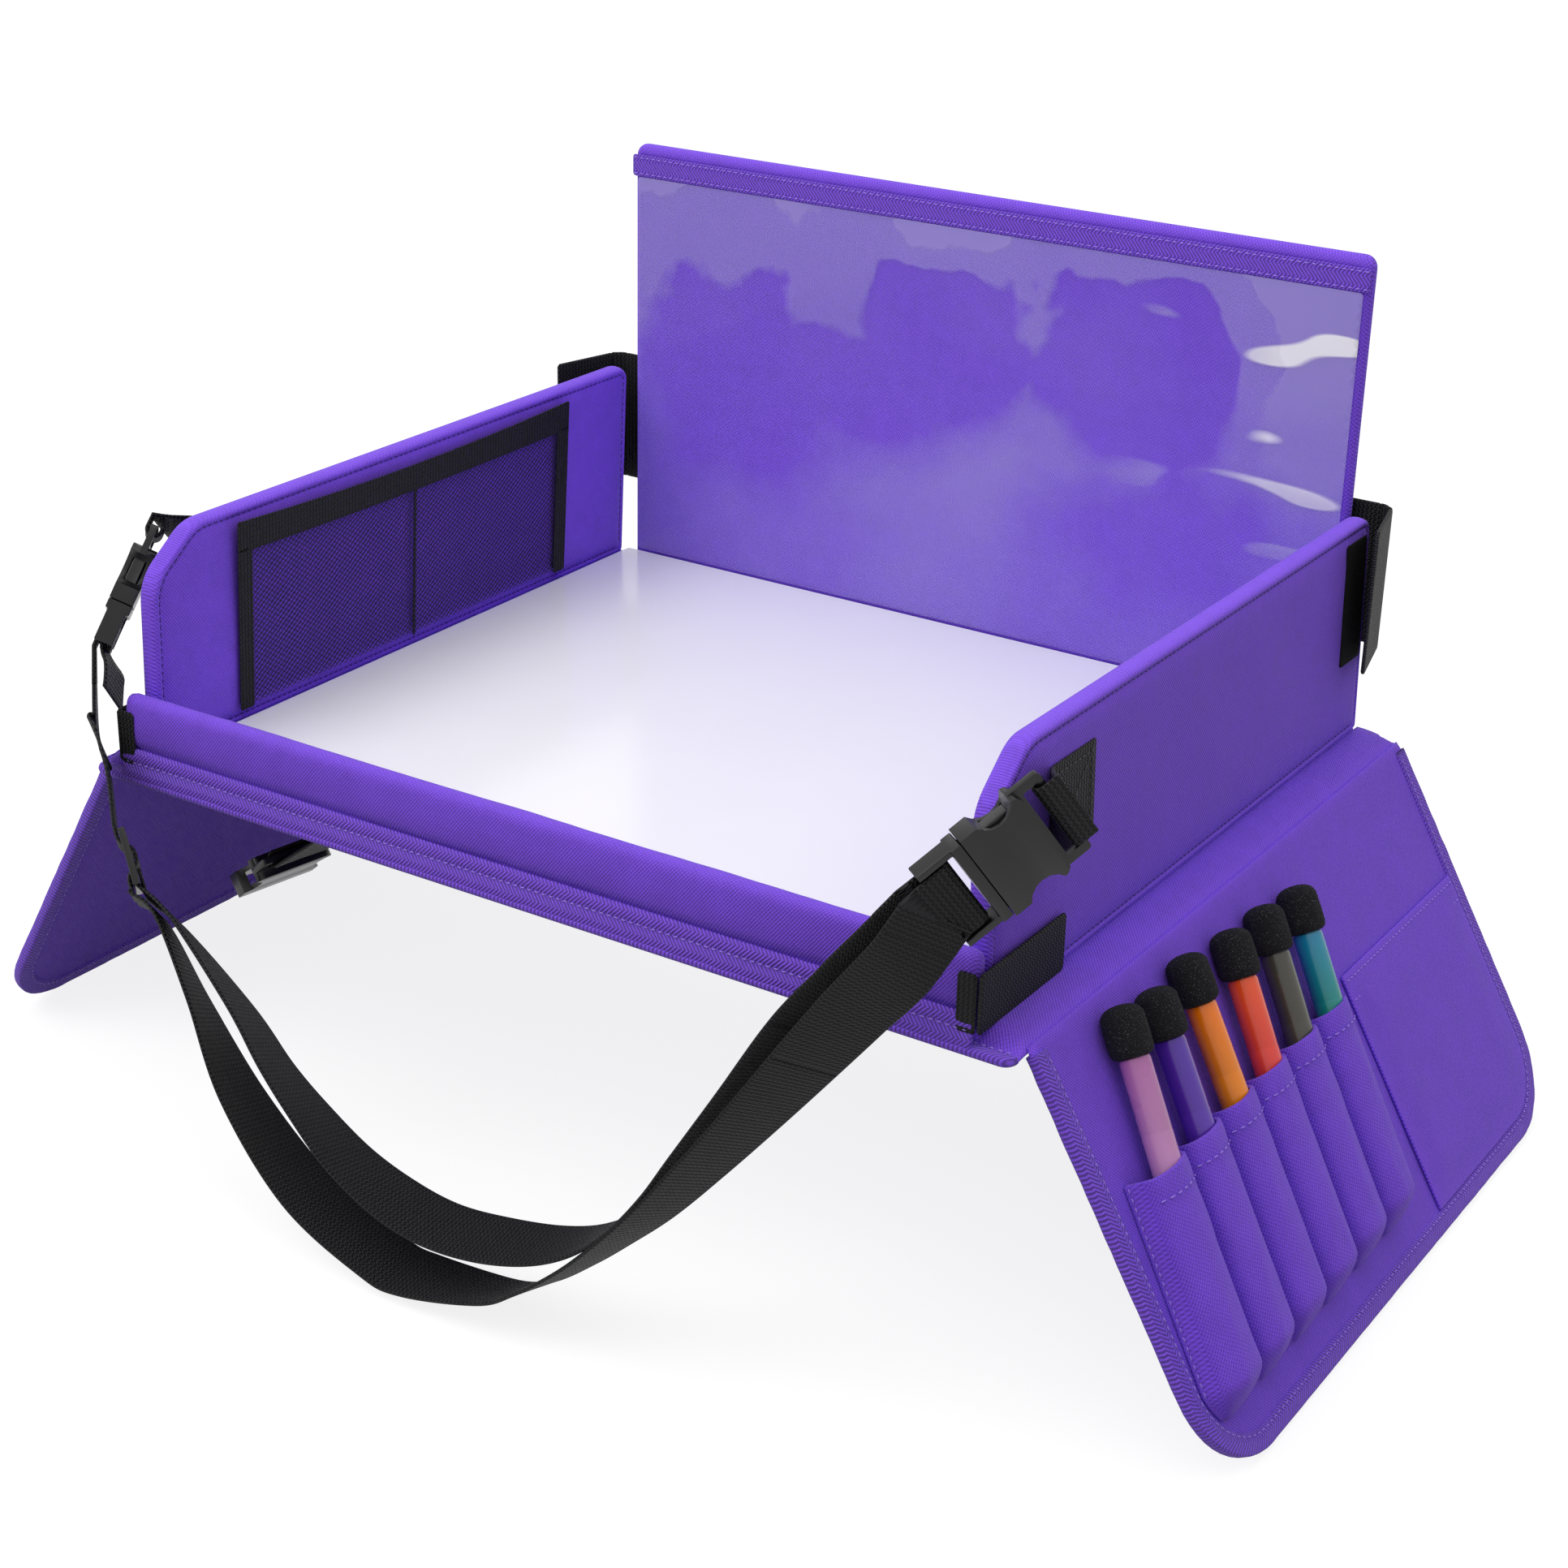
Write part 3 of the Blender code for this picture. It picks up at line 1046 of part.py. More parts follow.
def main():
    for old in list(bpy.data.objects):
        bpy.data.objects.remove(old, do_unlink=True)
    look = make_materials()
    root = empty("tray_frame", None, Matrix.Translation((0, TRAY_SETBACK, TRAY_HEIGHT)))
    make_base(root, look)
    make_lip(root, look)

    right_bar = seen_from_front(RIGHT_BUCKLE_BAR) + Vector((WALL_OUTER_X, 0, 0))
    left_bar = seen_from_front(LEFT_BUCKLE_BAR) - Vector((WALL_OUTER_X, 0, 0))
    right_frame = direction_frame(right_bar, RIGHT_BUCKLE_ALONG, RIGHT_BUCKLE_ACROSS)
    left_frame = direction_frame(left_bar, LEFT_BUCKLE_ALONG, LEFT_BUCKLE_ACROSS)
    buckle_frames = {"left": (left_frame, LEFT_PATCH_REAR), "right": (right_frame, RIGHT_PATCH_REAR)}
    panel = empty("back_panel_hinge", root, Matrix.Translation((0, PANEL_AXIS_Y, PANEL_FOOT_Z - FIT_GAP)))
    make_back_panel(panel, look)
    flaps = {}
    for name, side in SIDES:
        lean = Matrix.Rotation(-side * WALL_LEAN, 4, "Y")
        wall = empty(f"{name}_wall_hinge", root, Matrix.Translation((side * WALL_AXIS_X, 0, 0)) @ lean)
        make_wall(name, side, wall, look)
        frame, patch_rear = buckle_frames[name]
        male = empty(f"{name}_male_slide", root, frame)
        make_wall_buckle(name, side, wall, male, frame, patch_rear, look)
        bend = Matrix.Translation((side * BEND_X, 0, BEND_Z)) @ Matrix.Rotation(-side * FLAP_SPLAY, 4, "Y")
        flaps[name] = empty(f"{name}_flap_hinge", root, bend)
        make_flap(name, flaps[name], look)
        corner = Matrix.Translation((side * HOOK_TAB_CORNER_X, HOOK_TAB_Y, 0))
        splay = Matrix.Rotation(side * HOOK_TAB_SPLAY, 4, "Z")
        make_hook_tab(name, side, panel, empty(f"{name}_hook_tab_hinge", root, corner @ splay), look)
        front = LIP_BACK_Y - LIP_THICKNESS - FIT_GAP - CORNER_TAB_THICKNESS / 2
        turn = empty(f"{name}_corner_tab_hinge", root, Matrix.Translation((side * CORNER_TAB_X, front, 0)))
        make_corner_tab(name, side, root, turn, look)
        if name == "left":
            make_mesh_pocket(side, wall, look)
    make_big_pocket(flaps["right"], look)
    make_pen_sleeves(flaps["right"], look)
    for index, colour in enumerate(marker_materials()):
        frame = marker_frame(flaps["right"], index)
        body = empty(f"marker_{index + 1}_slide", root, frame)
        cap_body = empty(f"marker_cap_{index + 1}_slide", root, frame)
        make_marker(index, body, cap_body, colour, look)

    under_frame = direction_frame(seen_from_front(UNDER_BUCKLE_BAR), UNDER_BUCKLE_ALONG, UNDER_BUCKLE_ACROSS)
    loop_top = SKIN_FOOT_Z - FIT_GAP - WEBBING_THICKNESS - FIT_GAP
    under_body = empty(
        "under_tray_buckle_hinge", root, Matrix.Translation((UNDER_LOOP_X, UNDER_LOOP_Y, loop_top)),
    )
    make_under_buckle(root, under_body, under_frame, look)
    x, y, z = GLIDE_CENTRE
    glide = direction_frame(seen_from_front((x * ROUTE_SPREAD, y, z)), GLIDE_ALONG, GLIDE_ACROSS)
    make_glide(root, glide, look)
    make_strap(root, right_frame, left_frame, glide, look)
    bpy.context.view_layer.update()


main()
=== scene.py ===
"""Looks of the car seat tray table: sewn cloth, webbing, clear film and moulded plastic on a pale floor."""

import math

import bmesh
import bpy
import numpy as np
from bpy.props import FloatProperty, FloatVectorProperty, PointerProperty
from mathutils import Matrix, Vector, noise
from mathutils.geometry import delaunay_2d_cdt


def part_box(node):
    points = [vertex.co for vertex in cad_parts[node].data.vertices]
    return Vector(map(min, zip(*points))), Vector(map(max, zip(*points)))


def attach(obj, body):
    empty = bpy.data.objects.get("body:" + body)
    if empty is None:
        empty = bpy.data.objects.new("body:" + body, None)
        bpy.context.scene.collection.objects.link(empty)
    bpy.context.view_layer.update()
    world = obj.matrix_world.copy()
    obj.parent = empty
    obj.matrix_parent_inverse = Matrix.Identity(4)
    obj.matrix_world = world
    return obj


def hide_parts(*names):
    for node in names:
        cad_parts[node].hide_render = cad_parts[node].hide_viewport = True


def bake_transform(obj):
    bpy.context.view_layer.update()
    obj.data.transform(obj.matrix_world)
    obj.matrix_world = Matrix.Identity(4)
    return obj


bl_info = {
    "name": "Seat tray looks",
    "version": (1, 0, 0),
    "blender": (4, 5, 0),
    "location": "3D View > Sidebar > Seat Tray",
    "description": "Dresses a child's seat tray in cloth, webbing, film and plastic",
    "category": "Object",
}

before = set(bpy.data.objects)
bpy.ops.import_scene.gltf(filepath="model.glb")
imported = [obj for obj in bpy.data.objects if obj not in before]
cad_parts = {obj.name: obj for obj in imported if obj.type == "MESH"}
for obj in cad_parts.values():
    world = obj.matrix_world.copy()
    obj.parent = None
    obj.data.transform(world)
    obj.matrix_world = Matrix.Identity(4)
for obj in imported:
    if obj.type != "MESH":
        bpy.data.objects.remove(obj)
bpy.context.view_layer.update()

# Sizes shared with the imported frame, in metres
FILM_BACK_EDGE = 0.1752
WALL_AXIS_X = 0.204
WALL_INNER = 0.003
WALL_OUTER = 0.013
WALL_LEAN = math.radians(2)
WALL_FRONT_Y = -0.1749
WALL_BACK_Y = 0.1752
WALL_FOOT_Z = -0.0030
WALL_HEIGHT = 0.101
WALL_CHAMFER = (0.027, 0.021, 0.022)
FLAP_AXIS = (0.2364, -0.0099)
FLAP_SPLAY = math.radians(30.3)
FLAP_LENGTH = 0.1846
FLAP_FRONT_Y = -0.1774
FLAP_BACK_Y = 0.1818
FLAP_CORNER = 0.040
FLAP_TOP = 0.0031
PANEL_HALF = 0.201
PANEL_FRONT_Y = 0.1767
PANEL_BACK_Y = 0.1855
PANEL_FOOT_Z = -0.0085
PANEL_HEIGHT = 0.2175
SKIN_TOP_Z = -0.0088
SKIN_FOOT_Z = -0.0110
BAND_HALF = 0.0025
SLEEVE_COUNT = 6
SLEEVE_PITCH = 0.031
SLEEVE_HEM = 0.064
SLEEVE_TAPER = 0.148
SLEEVE_FOOT = 0.162
SLEEVE_FIRST_Y = -0.1445
SLEEVE_SLANT = math.radians(5.5)
SLEEVE_RISE = 0.0169
FLAP_FACE = 0.0018
WEBBING_WIDTH = 0.030
WEBBING_THICKNESS = 0.0016
WRAP_RADIUS = 0.00322

FILM_LOW, FILM_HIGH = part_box("dry_erase_top")
TRAY = Matrix.Translation((0, FILM_HIGH.y - FILM_BACK_EDGE, FILM_HIGH.z))
ON_SIDE = Matrix(((0, 0, 1, 0), (1, 0, 0, 0), (0, 1, 0, 0), (0, 0, 0, 1)))
ON_BACK = Matrix(((1, 0, 0, 0), (0, 0, 1, 0), (0, 1, 0, 0), (0, 0, 0, 1)))
SIDES = (("left", -1), ("right", 1))

RIGHT_BUCKLE = ((0.242, -0.177, 0.091), (-0.502, -0.631, -0.591), (0.361, 0.479, -0.803))
LEFT_BUCKLE = ((-0.235, -0.1423, 0.089), (-0.069, -0.576, -0.814), (0.66, -0.66, 0.36))
UNDER_BUCKLE = ((-0.160, -0.139, -0.049), (-0.74, 0.22, -0.63), (0.2, 1, 0))
ADJUSTER = ((-0.1925, -0.2118, -0.0358), (0.52, -0.23, -0.82), (-0.60, 0.60, -0.53))
MALE_BAR_X = 0.0468
BUCKLE_END = 0.0550

# The strap's route between the adjuster and the right buckle, and the way its width lies at each point
OUTER_STRAP_ROUTE = (
    ((-0.1720, -0.2156, -0.0573), (-0.46, 0.68, -0.57)),
    ((-0.1457, -0.2226, -0.0853), (-0.34, 0.80, -0.50)),
    ((-0.1145, -0.2310, -0.1190), (-0.05, 0.96, -0.29)),
    ((-0.0720, -0.2384, -0.1485), (0.08, 0.99, -0.03)),
    ((-0.0289, -0.2419, -0.1627), (0.04, 0.99, 0.09)),
    ((-0.0077, -0.2423, -0.1643), (0, 0.99, 0.10)),
    ((0.0323, -0.2408, -0.1581), (0, 0.98, -0.15)),
    ((0.0503, -0.2390, -0.1495), (0.03, 0.96, -0.26)),
    ((0.0678, -0.2352, -0.1359), (0.05, 0.95, -0.28)),
    ((0.0823, -0.2318, -0.1221), (0.09, 0.95, -0.32)),
    ((0.0995, -0.2272, -0.1037), (0.17, 0.91, -0.38)),
    ((0.1185, -0.2215, -0.0795), (0.26, 0.87, -0.43)),
    ((0.1397, -0.2180, -0.0513), (0.34, 0.80, -0.49)),
    ((0.1632, -0.2180, -0.0192), (0.39, 0.68, -0.61)),
    ((0.1840, -0.2190, 0.0090), (0.38, 0.56, -0.73)),
    ((0.2030, -0.2195, 0.0340), (0.361, 0.479, -0.803)),
)
INNER_STRAP_ROUTE = (
    ((-0.1612, -0.2154, -0.0566), (-0.40, 0.68, -0.61)),
    ((-0.1215, -0.2217, -0.0819), (-0.24, 0.82, -0.51)),
    ((-0.0979, -0.2265, -0.1010), (-0.15, 0.88, -0.43)),
    ((-0.0762, -0.2300, -0.1152), (-0.06, 0.94, -0.33)),
    ((-0.0524, -0.2333, -0.1281), (0.01, 0.98, -0.17)),
    ((-0.0267, -0.2354, -0.1365), (0.02, 0.99, 0)),
    ((-0.0016, -0.2363, -0.1400), (0, 0.99, 0.10)),
    ((0.0258, -0.2357, -0.1377), (-0.04, 0.98, 0.15)),
    ((0.0519, -0.2342, -0.1317), (-0.06, 0.98, 0.08)),
    ((0.0718, -0.2320, -0.1229), (-0.07, 0.99, -0.03)),
    ((0.0878, -0.2288, -0.1101), (-0.05, 0.98, -0.14)),
    ((0.1019, -0.2246, -0.0933), (0.02, 0.97, -0.22)),
    ((0.1148, -0.2204, -0.0737), (0.12, 0.95, -0.29)),
    ((0.1368, -0.2165, -0.0410), (0.24, 0.86, -0.44)),
    ((0.1605, -0.2160, -0.0059), (0.32, 0.72, -0.61)),
    ((0.1810, -0.2165, 0.0190), (0.36, 0.60, -0.71)),
    ((0.1950, -0.2160, 0.0360), (0.361, 0.479, -0.803)),
)
LEFT_STRAP_ROUTE = (
    ((-0.2330, -0.1880, 0.0117), (-0.66, 0.66, -0.40)),
    ((-0.2201, -0.1975, 0.0053), (-0.65, 0.64, -0.44)),
    ((-0.2100, -0.2040, -0.0047), (-0.62, 0.62, -0.50)),
)
LEFT_TAIL_ROUTE = (
    ((-0.2302, -0.1775, 0.0344), (-0.55, 0.80, -0.28)),
    ((-0.2240, -0.1850, 0.0250), (-0.50, 0.82, -0.28)),
)


# Settings shown in the sidebar

class ClothSettings(bpy.types.PropertyGroup):
    """Sizes and colours of the sewn cloth."""
    cloth: FloatVectorProperty(
        name="Cloth", description="Colour of the twill", subtype="COLOR", size=3,
        default=(0.185, 0.066, 0.70),
    )
    tape: FloatVectorProperty(
        name="Tape", description="Colour of the binding tape", subtype="COLOR", size=3,
        default=(0.185, 0.063, 0.71),
    )
    thread: FloatVectorProperty(
        name="Thread", description="Colour of the sewing thread", subtype="COLOR", size=3,
        default=(0.32, 0.19, 0.86),
    )
    stitch: FloatProperty(
        name="Stitch", description="Length of one stitch", unit="LENGTH", subtype="DISTANCE", default=0.0026,
    )
    pitch: FloatProperty(
        name="Stitch pitch", description="Distance from stitch to stitch", unit="LENGTH", subtype="DISTANCE",
        default=0.0036,
    )
    grain: FloatProperty(
        name="Twill pitch", description="Distance between the twill's ribs", unit="LENGTH",
        subtype="DISTANCE",
        default=0.0015,
    )


class TrimSettings(bpy.types.PropertyGroup):
    """Colours of the webbing, plastic, film and markers."""
    webbing: FloatVectorProperty(
        name="Webbing", description="Colour of the webbing", subtype="COLOR", size=3,
        default=(0.0042, 0.0042, 0.0046),
    )
    plastic: FloatVectorProperty(
        name="Plastic", description="Colour of the buckles", subtype="COLOR", size=3,
        default=(0.006, 0.006, 0.0065),
    )
    film: FloatVectorProperty(
        name="Film", description="Colour of the writing film", subtype="COLOR", size=3,
        default=(0.93, 0.925, 0.945),
    )
    net_pitch: FloatProperty(
        name="Net pitch", description="Width of one hole of the net", unit="LENGTH", subtype="DISTANCE",
        default=0.0037,
    )


class StageSettings(bpy.types.PropertyGroup):
    """Camera, floor and light."""
    lens: FloatProperty(name="Lens", description="Focal length", subtype="DISTANCE_CAMERA", default=65.24)
    key: FloatProperty(name="Key light", description="Power of the main lamp", subtype="POWER", default=19.0)
    fill: FloatProperty(name="Fill light", description="Power of the top lamp", subtype="POWER", default=2.5)
    room: FloatProperty(name="Room light", description="Strength of the even light", default=0.72)
    floor: FloatProperty(
        name="Floor", description="Side of the floor", unit="LENGTH", subtype="DISTANCE", default=16.0,
    )


# Shader maths

class Value:
    """A socket of a material, on which arithmetic adds Math nodes."""

    def __init__(self, finish, socket):
        self.finish = finish
        self.socket = socket

    def maths(self, operation, *terms):
        return self.finish.node("ShaderNodeMath", {"operation": operation}, dict(enumerate(terms)))

    def __add__(self, other):
        return self.maths("ADD", self, other)

    def __radd__(self, other):
        return self.maths("ADD", other, self)

    def __sub__(self, other):
        return self.maths("SUBTRACT", self, other)

    def __rsub__(self, other):
        return self.maths("SUBTRACT", other, self)

    def __mul__(self, other):
        return self.maths("MULTIPLY", self, other)

    def __rmul__(self, other):
        return self.maths("MULTIPLY", other, self)

    def __truediv__(self, other):
        return self.maths("DIVIDE", self, other)

    def __pow__(self, other):
        return self.maths("POWER", self, other)

    def sine(self):
        return self.maths("SINE", self)

    def size(self):
        return self.maths("ABSOLUTE", self)

    def part(self):
        return self.maths("FRACT", self)

    def above(self, level):
        return self.maths("GREATER_THAN", self, level)

    def held(self):
        return self.maths("MAXIMUM", self.maths("MINIMUM", self, 1.0), 0.0)

    def step(self, level, soft):
        """0 below the level and 1 above it, with a soft edge."""
        return ((self - level) / soft + 0.5).held()

    def root(self):
        return self.maths("SQRT", self)

    def least(self, other):
        return self.maths("MINIMUM", self, other)


class Finish:
    """A material with one Principled shader and the nodes that feed it."""

    def __init__(self, name, **settings):
        self.material = bpy.data.materials.new(name)
        self.material.use_nodes = True
        self.tree = self.material.node_tree
        self.shader = self.tree.nodes["Principled BSDF"]
        for socket, value in settings.items():
            self.shader.inputs[socket.replace("_", " ")].default_value = value

    def node(self, kind, settings, inputs, output=0):
        made = self.tree.nodes.new(kind)
        for key, value in settings.items():
            setattr(made, key, value)
        for key, value in inputs.items():
            if isinstance(value, Value):
                self.tree.links.new(value.socket, made.inputs[key])
            else:
                made.inputs[key].default_value = value
        return Value(self, made.outputs[output])

    def surface(self):
        """The piece's own cloth coordinates, along and across, in metres."""
        place = self.node("ShaderNodeUVMap", {"uv_map": "cloth"}, {})
        return [self.node("ShaderNodeSeparateXYZ", {}, {0: place}, output) for output in (0, 1)]

    def place(self):
        return self.node("ShaderNodeTexCoord", {}, {}, "Object")

    def grain(self, scale, detail=2.0, where=None):
        return self.node(
            "ShaderNodeTexNoise", {}, {"Vector": where or self.place(), "Scale": scale, "Detail": detail},
        )

    def mixed(self, share, first, second):
        return self.node(
            "ShaderNodeMix", {"data_type": "RGBA"},
            {0: share, 6: (*first, 1) if isinstance(first, tuple) else first,
                                                     7: (*second, 1) if isinstance(second, tuple) else second}, 2,
        )

    def relief(self, height, distance, strength=1.0):
        bump = self.node("ShaderNodeBump", {}, {"Height": height, "Distance": distance, "Strength": strength})
        self.feed("Normal", bump)

    def feed(self, socket, value):
        self.tree.links.new(value.socket, self.shader.inputs[socket])


def shaded(colour, factor):
    return tuple(min(1.0, channel * factor) for channel in colour)


def twill(name, colour, pitch):
    """Polyester twill: fine diagonal ribs, broken along their length, a soft mottle and rubbed edges."""
    finish = Finish(
        name, Roughness=0.82, Specular_IOR_Level=0.35, Sheen_Weight=0.22, Sheen_Roughness=0.45,
        Sheen_Tint=(0.75, 0.62, 1, 1),
    )
    along, across = finish.surface()
    ribs = ((along + across * 0.8) * (math.tau / pitch)).sine()
    yarns = ((along - across * 1.3) * (math.tau / pitch * 0.62)).sine()
    mottle = finish.grain(90.0, 3.0)
    fuzz = finish.grain(1400.0, 1.0)
    height = ribs * 0.5 + yarns * 0.3 + fuzz * 0.8
    rim = finish.node("ShaderNodeAttribute", {"attribute_name": "rim"}, {}, "Fac")
    share = (0.5 + ribs * 0.30 + yarns * 0.12 + (mottle - 0.5) * 0.4 + (fuzz - 0.5) * 0.5 + rim * 0.2).held()
    finish.feed("Base Color", finish.mixed(share, shaded(colour, 0.66), shaded(colour, 1.36)))
    finish.feed("Roughness", 0.66 + mottle * 0.16)
    finish.relief(height, 0.00022, 0.7)
    return finish.material


def herringbone(name, colour, pitch, band=0.0095):
    """Narrow tape woven in chevrons along its length."""
    finish = Finish(name, Roughness=0.7, Sheen_Weight=0.1)
    along, across = finish.surface()
    zigzag = ((across / band).part() - 0.5).size() * 2.0
    ribs = ((along + zigzag * band * 0.42) * (math.tau / pitch)).sine()
    fuzz = finish.grain(900.0, 2.0)
    share = (0.5 + ribs * 0.42 + (fuzz - 0.5) * 0.5).held()
    finish.feed("Base Color", finish.mixed(share, shaded(colour, 0.42), shaded(colour, 1.5)))
    finish.relief(ribs * 0.6 + fuzz * 0.4, 0.0004, 0.9)
    return finish.material


def woven_black(name, colour, rib=0.0017, row=0.0022, shine=0.55):
    """Flat black webbing with rows of small raised picks and thicker edges; the picks are painted lighter than the
    black, as painted highlights for the glints on the weave.
    """
    finish = Finish(name, Roughness=shine, Specular_IOR_Level=0.16)
    along, across = finish.surface()
    rows = (across * (math.tau / row)).sine()
    picks = (along * (math.tau / rib) + rows * 1.2).sine()
    fuzz = finish.grain(1500.0, 1.0)
    height = picks * rows * 0.6 + fuzz * 0.3
    # The colour runs from a fifth to ten times the webbing's black; the light end on the raised picks is a painted
    # highlight standing in for glints on the weave
    share = (0.35 + picks * rows * 0.45 + (fuzz - 0.5) * 0.7).held()
    finish.feed("Base Color", finish.mixed(share, shaded(colour, 0.2), shaded(colour, 10.0)))
    finish.feed("Roughness", shine - 0.12 + fuzz * 0.25)
    finish.relief(height, 0.0007, 1.0)
    return finish.material


def fuzzy_black(name, colour):
    """Hook and loop cloth: short matted pile."""
    finish = Finish(name, Roughness=0.95, Specular_IOR_Level=0.2)
    pile = finish.grain(1300.0, 3.0)
    patches = finish.grain(240.0, 2.0)
    share = (pile * 0.7 + patches * 0.4 - 0.2).held()
    finish.feed("Base Color", finish.mixed(share, shaded(colour, 0.5), shaded(colour, 2.4)))
    finish.relief(pile, 0.0006, 0.9)
    return finish.material


def moulded(name, colour):
    """Moulded black plastic with a fine spark-eroded surface, shinier where it is handled."""
    finish = Finish(name, Roughness=0.3, Specular_IOR_Level=0.4)
    fine = finish.grain(2600.0, 2.0)
    rubbed = finish.grain(60.0, 2.0)
    finish.feed("Base Color", finish.mixed(rubbed, shaded(colour, 0.8), shaded(colour, 1.5)))
    finish.feed("Roughness", 0.20 + fine * 0.10 + rubbed * 0.10)
    finish.relief(fine, 0.00004, 0.5)
    return finish.material


def writing_film(name, colour):
    """Glossy white film with a trace of old wiping."""
    finish = Finish(name, Roughness=0.16, Specular_IOR_Level=0.4)
    smear = finish.grain(14.0, 4.0)
    finish.feed("Base Color", finish.mixed(smear, shaded(colour, 0.98), shaded(colour, 1.03)))
    finish.feed("Roughness", 0.12 + smear * 0.12)
    finish.relief(smear, 0.0004, 0.12)
    return finish.material


# Ellipses on the window, as (across, up, width, height), that the painted reflection leaves clear
UNREFLECTED_PATCHES = (
    (-0.018, 0.146, 0.058, 0.042), (0.086, 0.140, 0.056, 0.042), (-0.140, 0.098, 0.070, 0.064),
    (-0.070, 0.118, 0.070, 0.030), (0.120, 0.060, 0.075, 0.042),
)


def clear_film(name):
    """Clear vinyl with painted reflections: broad pale painted reflections with wandering edges round clear patches,
    stronger towards the top, and a few narrow bright painted highlights.
    """
    finish = Finish(name, Roughness=0.08, Specular_IOR_Level=0.6, IOR=1.5)
    finish.material.surface_render_method = "BLENDED"
    across, up = finish.surface()
    wander = finish.grain(16.0, 3.0) - 0.5
    clear = None
    for u, v, wide, tall in UNREFLECTED_PATCHES:
        reach = (((across - u) / wide) ** 2.0 + ((up - v) / tall) ** 2.0).root()
        clear = reach if clear is None else clear.least(reach)
    lift = (up / 0.2).held()
    soft = (1.0 - lift) ** 3.0 * 3.0 + 0.05
    # Painted reflection: two nested pale zones round the clear patches, soft-edged low down; second is the paler
    # inner zone of the painted reflection
    painted_reflection = (clear + wander * 1.5).step(1.0, soft)
    second = (clear + wander * 2.6).step(1.55, soft)
    # Painted highlights: narrow bright marks from a turned, stretched noise, kept to the right and the top of the
    # window
    turned = finish.node("ShaderNodeMapping", {}, {
        "Vector": finish.place(), "Rotation": (0, math.radians(35), 0), "Scale": (14.0, 14.0, 60.0),
    })
    painted_highlight_streaks = finish.grain(1.0, 0.0, turned).step(0.66, 0.03) * across.step(0.12, 0.08) * up.step(0.09, 0.06)
    # The alpha carries the painted reflection, stronger towards the top, and the painted highlights; the base colour
    # turns white in the painted highlights
    painted_reflection_veil = painted_reflection * (0.10 + lift * 0.14) + second * (0.04 + lift * 0.10) + wander * 0.10
    finish.feed("Alpha", (0.05 + painted_reflection_veil + painted_highlight_streaks * 0.55).held())
    finish.feed("Base Color", finish.mixed(painted_highlight_streaks, (0.52, 0.42, 0.92), (0.95, 0.93, 1.0)))
    finish.feed("Roughness", 0.06 + painted_reflection * 0.10)
    finish.relief(finish.grain(9.0, 1.0), 0.006, 0.35)
    return finish.material


def barrel_plastic(name, colour, low):
    """Smooth moulded marker plastic whose colour shifts from its cap down to the sleeve."""
    finish = Finish(name, Roughness=0.28, Specular_IOR_Level=0.4, Coat_Weight=0.3, Coat_Roughness=0.06)
    flow = finish.grain(70.0, 2.0)
    height = finish.surface()[1]
    shift = ((-0.022 - height) / 0.040 + (flow - 0.5) * 0.25).held()
    finish.feed("Base Color", finish.mixed(shift, colour, low))
    finish.feed("Roughness", 0.22 + flow * 0.12)
    return finish.material


def wiping_foam(name):
    """Black foam with pale specks, open and rough."""
    finish = Finish(name, Roughness=0.95, Specular_IOR_Level=0.2)
    cells = finish.node("ShaderNodeTexVoronoi", {}, {"Vector": finish.place(), "Scale": 1500.0})
    specks = finish.grain(1900.0, 1.0).above(0.66)
    finish.feed("Base Color", finish.mixed(specks * 0.5, (0.012, 0.012, 0.014), (0.16, 0.16, 0.17)))
    finish.relief(cells + finish.grain(700.0, 2.0), 0.0005, 0.8)
    return finish.material


def sewing_thread(name, colour):
    """Twisted thread with a slight shine."""
    finish = Finish(name, Roughness=0.55)
    twist = finish.grain(3000.0, 1.0)
    finish.feed("Base Color", finish.mixed(twist, shaded(colour, 0.7), shaded(colour, 1.4)))
    return finish.material


LEFT_LEAD_CUT = 21
OUTER_LEAD_CUT = 168
INNER_LEAD_CUT = 37
LEAD_OVERRUN = 0.003
STRAP_LOW = (0.115, -0.2210, -0.0800)
MARKER_COLOURS = (
    ((0.46, 0.15, 0.40), (0.56, 0.25, 0.50)), ((0.09, 0.022, 0.40), (0.11, 0.028, 0.44)),
    ((0.95, 0.20, 0.002), (0.95, 0.27, 0.004)), ((0.90, 0.09, 0.015), (0.85, 0.05, 0.05)),
    ((0.060, 0.055, 0.042), (0.070, 0.066, 0.050)), ((0.010, 0.24, 0.42), (0.006, 0.29, 0.20)),
)


def finishes():
    """Every material, made once."""
    if "Twill" in bpy.data.materials:
        return {
            name: bpy.data.materials[name]
            for name in ("Twill", "Tape", "Webbing", "Pile", "Plastic", "Film", "Vinyl", "Foam", "Thread", "Net",
                         "Black thread")
        }
    cloth = bpy.context.scene.tray_cloth
    trim = bpy.context.scene.tray_trim
    webbing = tuple(trim.webbing)
    twill("Twill", tuple(cloth.cloth), cloth.grain)
    herringbone("Tape", tuple(cloth.tape), 0.0019)
    woven_black("Webbing", webbing, 0.0021, 0.0025)
    # The net's threads take 1.6 times the webbing's black: a painted highlight standing in for the glints on the real
    # black threads
    woven_black("Net", shaded(webbing, 1.6), 0.0009, 0.0009, 0.55)
    fuzzy_black("Pile", webbing)
    moulded("Plastic", tuple(trim.plastic))
    writing_film("Film", tuple(trim.film))
    clear_film("Vinyl")
    wiping_foam("Foam")
    sewing_thread("Thread", tuple(cloth.thread))
    sewing_thread("Black thread", (0.03, 0.03, 0.032))
    sewing_thread("Seam thread", (0.045, 0.012, 0.20))
    for index, (colour, low) in enumerate(MARKER_COLOURS):
        barrel_plastic(f"Barrel {index + 1}", colour, low)
    return finishes()


# Meshes

